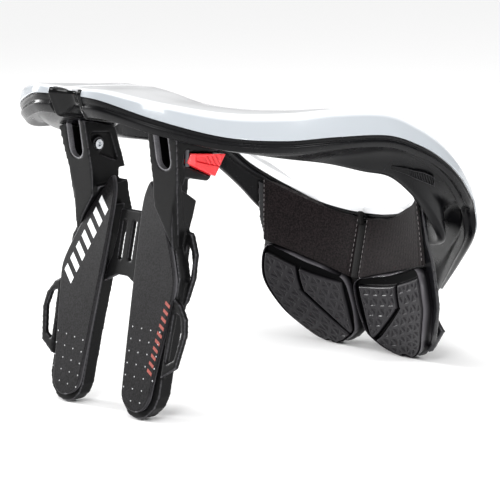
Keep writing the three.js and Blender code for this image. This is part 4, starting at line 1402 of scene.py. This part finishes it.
        # The distance in from the panel's four sides, whose foot climbs towards the tab's root
        foot = 0.76 - 0.5 * share_y
        inside = np.minimum.reduce([
            (share_y - 0.2) * 26.0, (0.86 - share_y) * 26.0,
            (share_z - foot) * 15.0, (0.86 - share_z) * 15.0,
        ])
        panel = np.clip(inside / 0.5, 0.0, 1.0)
        rib = np.clip(np.sin((y * 0.8 + z * 0.5) * 2.4) * 1.6, 0.0, 1.0)
        ribbed = np.clip((share_y - 0.45) * 12.0, 0.0, 1.0)
        sink = self.arrow_depth * panel * (1.0 - 0.7 * rib * ribbed) * outer
        place[:, 0] -= side.value * sink * 0.001
        mesh.vertices.foreach_set("co", place.ravel())
        mesh.update()


@dataclass
class ChestShell:
    """The plastic front of the chest part."""

    voxel_mm: float = 0.8

    def build(self) -> None:
        """Copies the CAD form with rounded edges."""
        finish = SATIN_NYLON.make()
        for side in Side:
            word = side.word
            moulded_copy(
                f"chest_shell_{word}", f"moulded_chest_shell_{word}", finish, "brace",
                self.voxel_mm, 4,
            )


@dataclass
class Studio:
    """Floor, soft lights and the camera at the photograph's angle."""

    azimuth: float = math.radians(45.0)
    elevation: float = math.radians(9.9)
    distance: float = 1.4
    mm_per_pixel: float = 0.62
    aim_height: float = 0.08
    frame_pixels: int = 500
    sensor_mm: float = 36.0
    floor_half: float = 20.0
    # Each soft panel's name, place in metres, size in metres and power in watts
    panels: tuple = (
        ("key", (0.7, -1.2, 0.9), 0.5, 9.0),
        ("strip", (1.5, 0.5, 0.9), 0.4, 13.0),
        ("left", (-1.3, -0.5, 0.5), 0.4, 26.0),
        ("low", (1.3, -0.35, 0.03), 0.16, 5.0),
    )

    def build(self) -> None:
        """Makes the floor, the world, the lights and the camera."""
        self.build_floor()
        self.build_world()
        self.build_lights()
        self.build_camera()

    def build_floor(self) -> None:
        """A wide pale floor, half a millimetre under the object."""
        size = self.floor_half
        points = np.array([[-size, -size], [size, -size], [size, size], [-size, size]])
        points = np.concatenate([points, np.full((4, 1), -0.0005)], axis=1)
        mesh = bpy.data.meshes.new("floor")
        mesh.from_pydata(points, [], [[0, 1, 2, 3]])
        material = bpy.data.materials.new("pale_floor")
        material.use_nodes = True
        shader = material.node_tree.nodes["Principled BSDF"]
        shader.inputs["Base Color"].default_value = linear("FAFAFA")
        shader.inputs["Roughness"].default_value = 0.9
        shader.inputs["Specular IOR Level"].default_value = 0.1
        mesh.materials.append(material)
        floor = bpy.data.objects.new("floor", mesh)
        bpy.context.scene.collection.objects.link(floor)

    def build_world(self) -> None:
        """A plain bright world."""
        world = bpy.data.worlds.new("studio")
        world.use_nodes = True
        back = world.node_tree.nodes["Background"]
        back.inputs["Color"].default_value = (1.0, 1.0, 1.0, 1.0)
        back.inputs["Strength"].default_value = 0.32
        bpy.context.scene.world = world

    def build_lights(self) -> None:
        """An even overhead light for the floor, and soft panels that the glossy edges reflect."""
        sky = bpy.data.lights.new("overhead", "SUN")
        sky.energy = 2.1
        sky.angle = math.radians(70.0)
        above = bpy.data.objects.new("overhead", sky)
        bpy.context.scene.collection.objects.link(above)
        above.rotation_euler = (math.radians(12.0), math.radians(10.0), 0.0)
        middle = Vector((0, 0, 0.1))
        for name, place, size, power in self.panels:
            light = bpy.data.lights.new(name, "AREA")
            light.size = size
            light.energy = power
            lamp = bpy.data.objects.new(name, light)
            bpy.context.scene.collection.objects.link(lamp)
            lamp.location = place
            lamp.rotation_euler = (middle - Vector(place)).to_track_quat("-Z", "Y").to_euler()

    def build_camera(self) -> None:
        """The camera: its lens is the distance over the size that the frame spans there."""
        camera = bpy.data.cameras.new("camera")
        span = self.frame_pixels * self.mm_per_pixel * 0.001
        camera.sensor_width = self.sensor_mm
        camera.lens = self.sensor_mm * self.distance / span
        camera.clip_end = 50.0
        holder = bpy.data.objects.new("camera", camera)
        bpy.context.scene.collection.objects.link(holder)
        aim = Vector((0.0, NECK_Y * 0.001, self.aim_height))
        away = Vector((
            math.sin(self.azimuth) * math.cos(self.elevation),
            -math.cos(self.azimuth) * math.cos(self.elevation),
            math.sin(self.elevation),
        ))
        holder.location = aim + away * self.distance
        holder.rotation_euler = (-away).to_track_quat("-Z", "Y").to_euler()
        bpy.context.scene.camera = holder


def main() -> None:
    """Builds every sub-assembly in order."""
    for part in (Collar(), ChestPart(), ChestShell(), RearPart(), Studio()):
        part.build()
        log.info("built %s", type(part).__name__)
    bpy.context.scene.view_settings.view_transform = "Standard"
    bpy.context.view_layer.update()


if __name__ == "__main__":
    main()
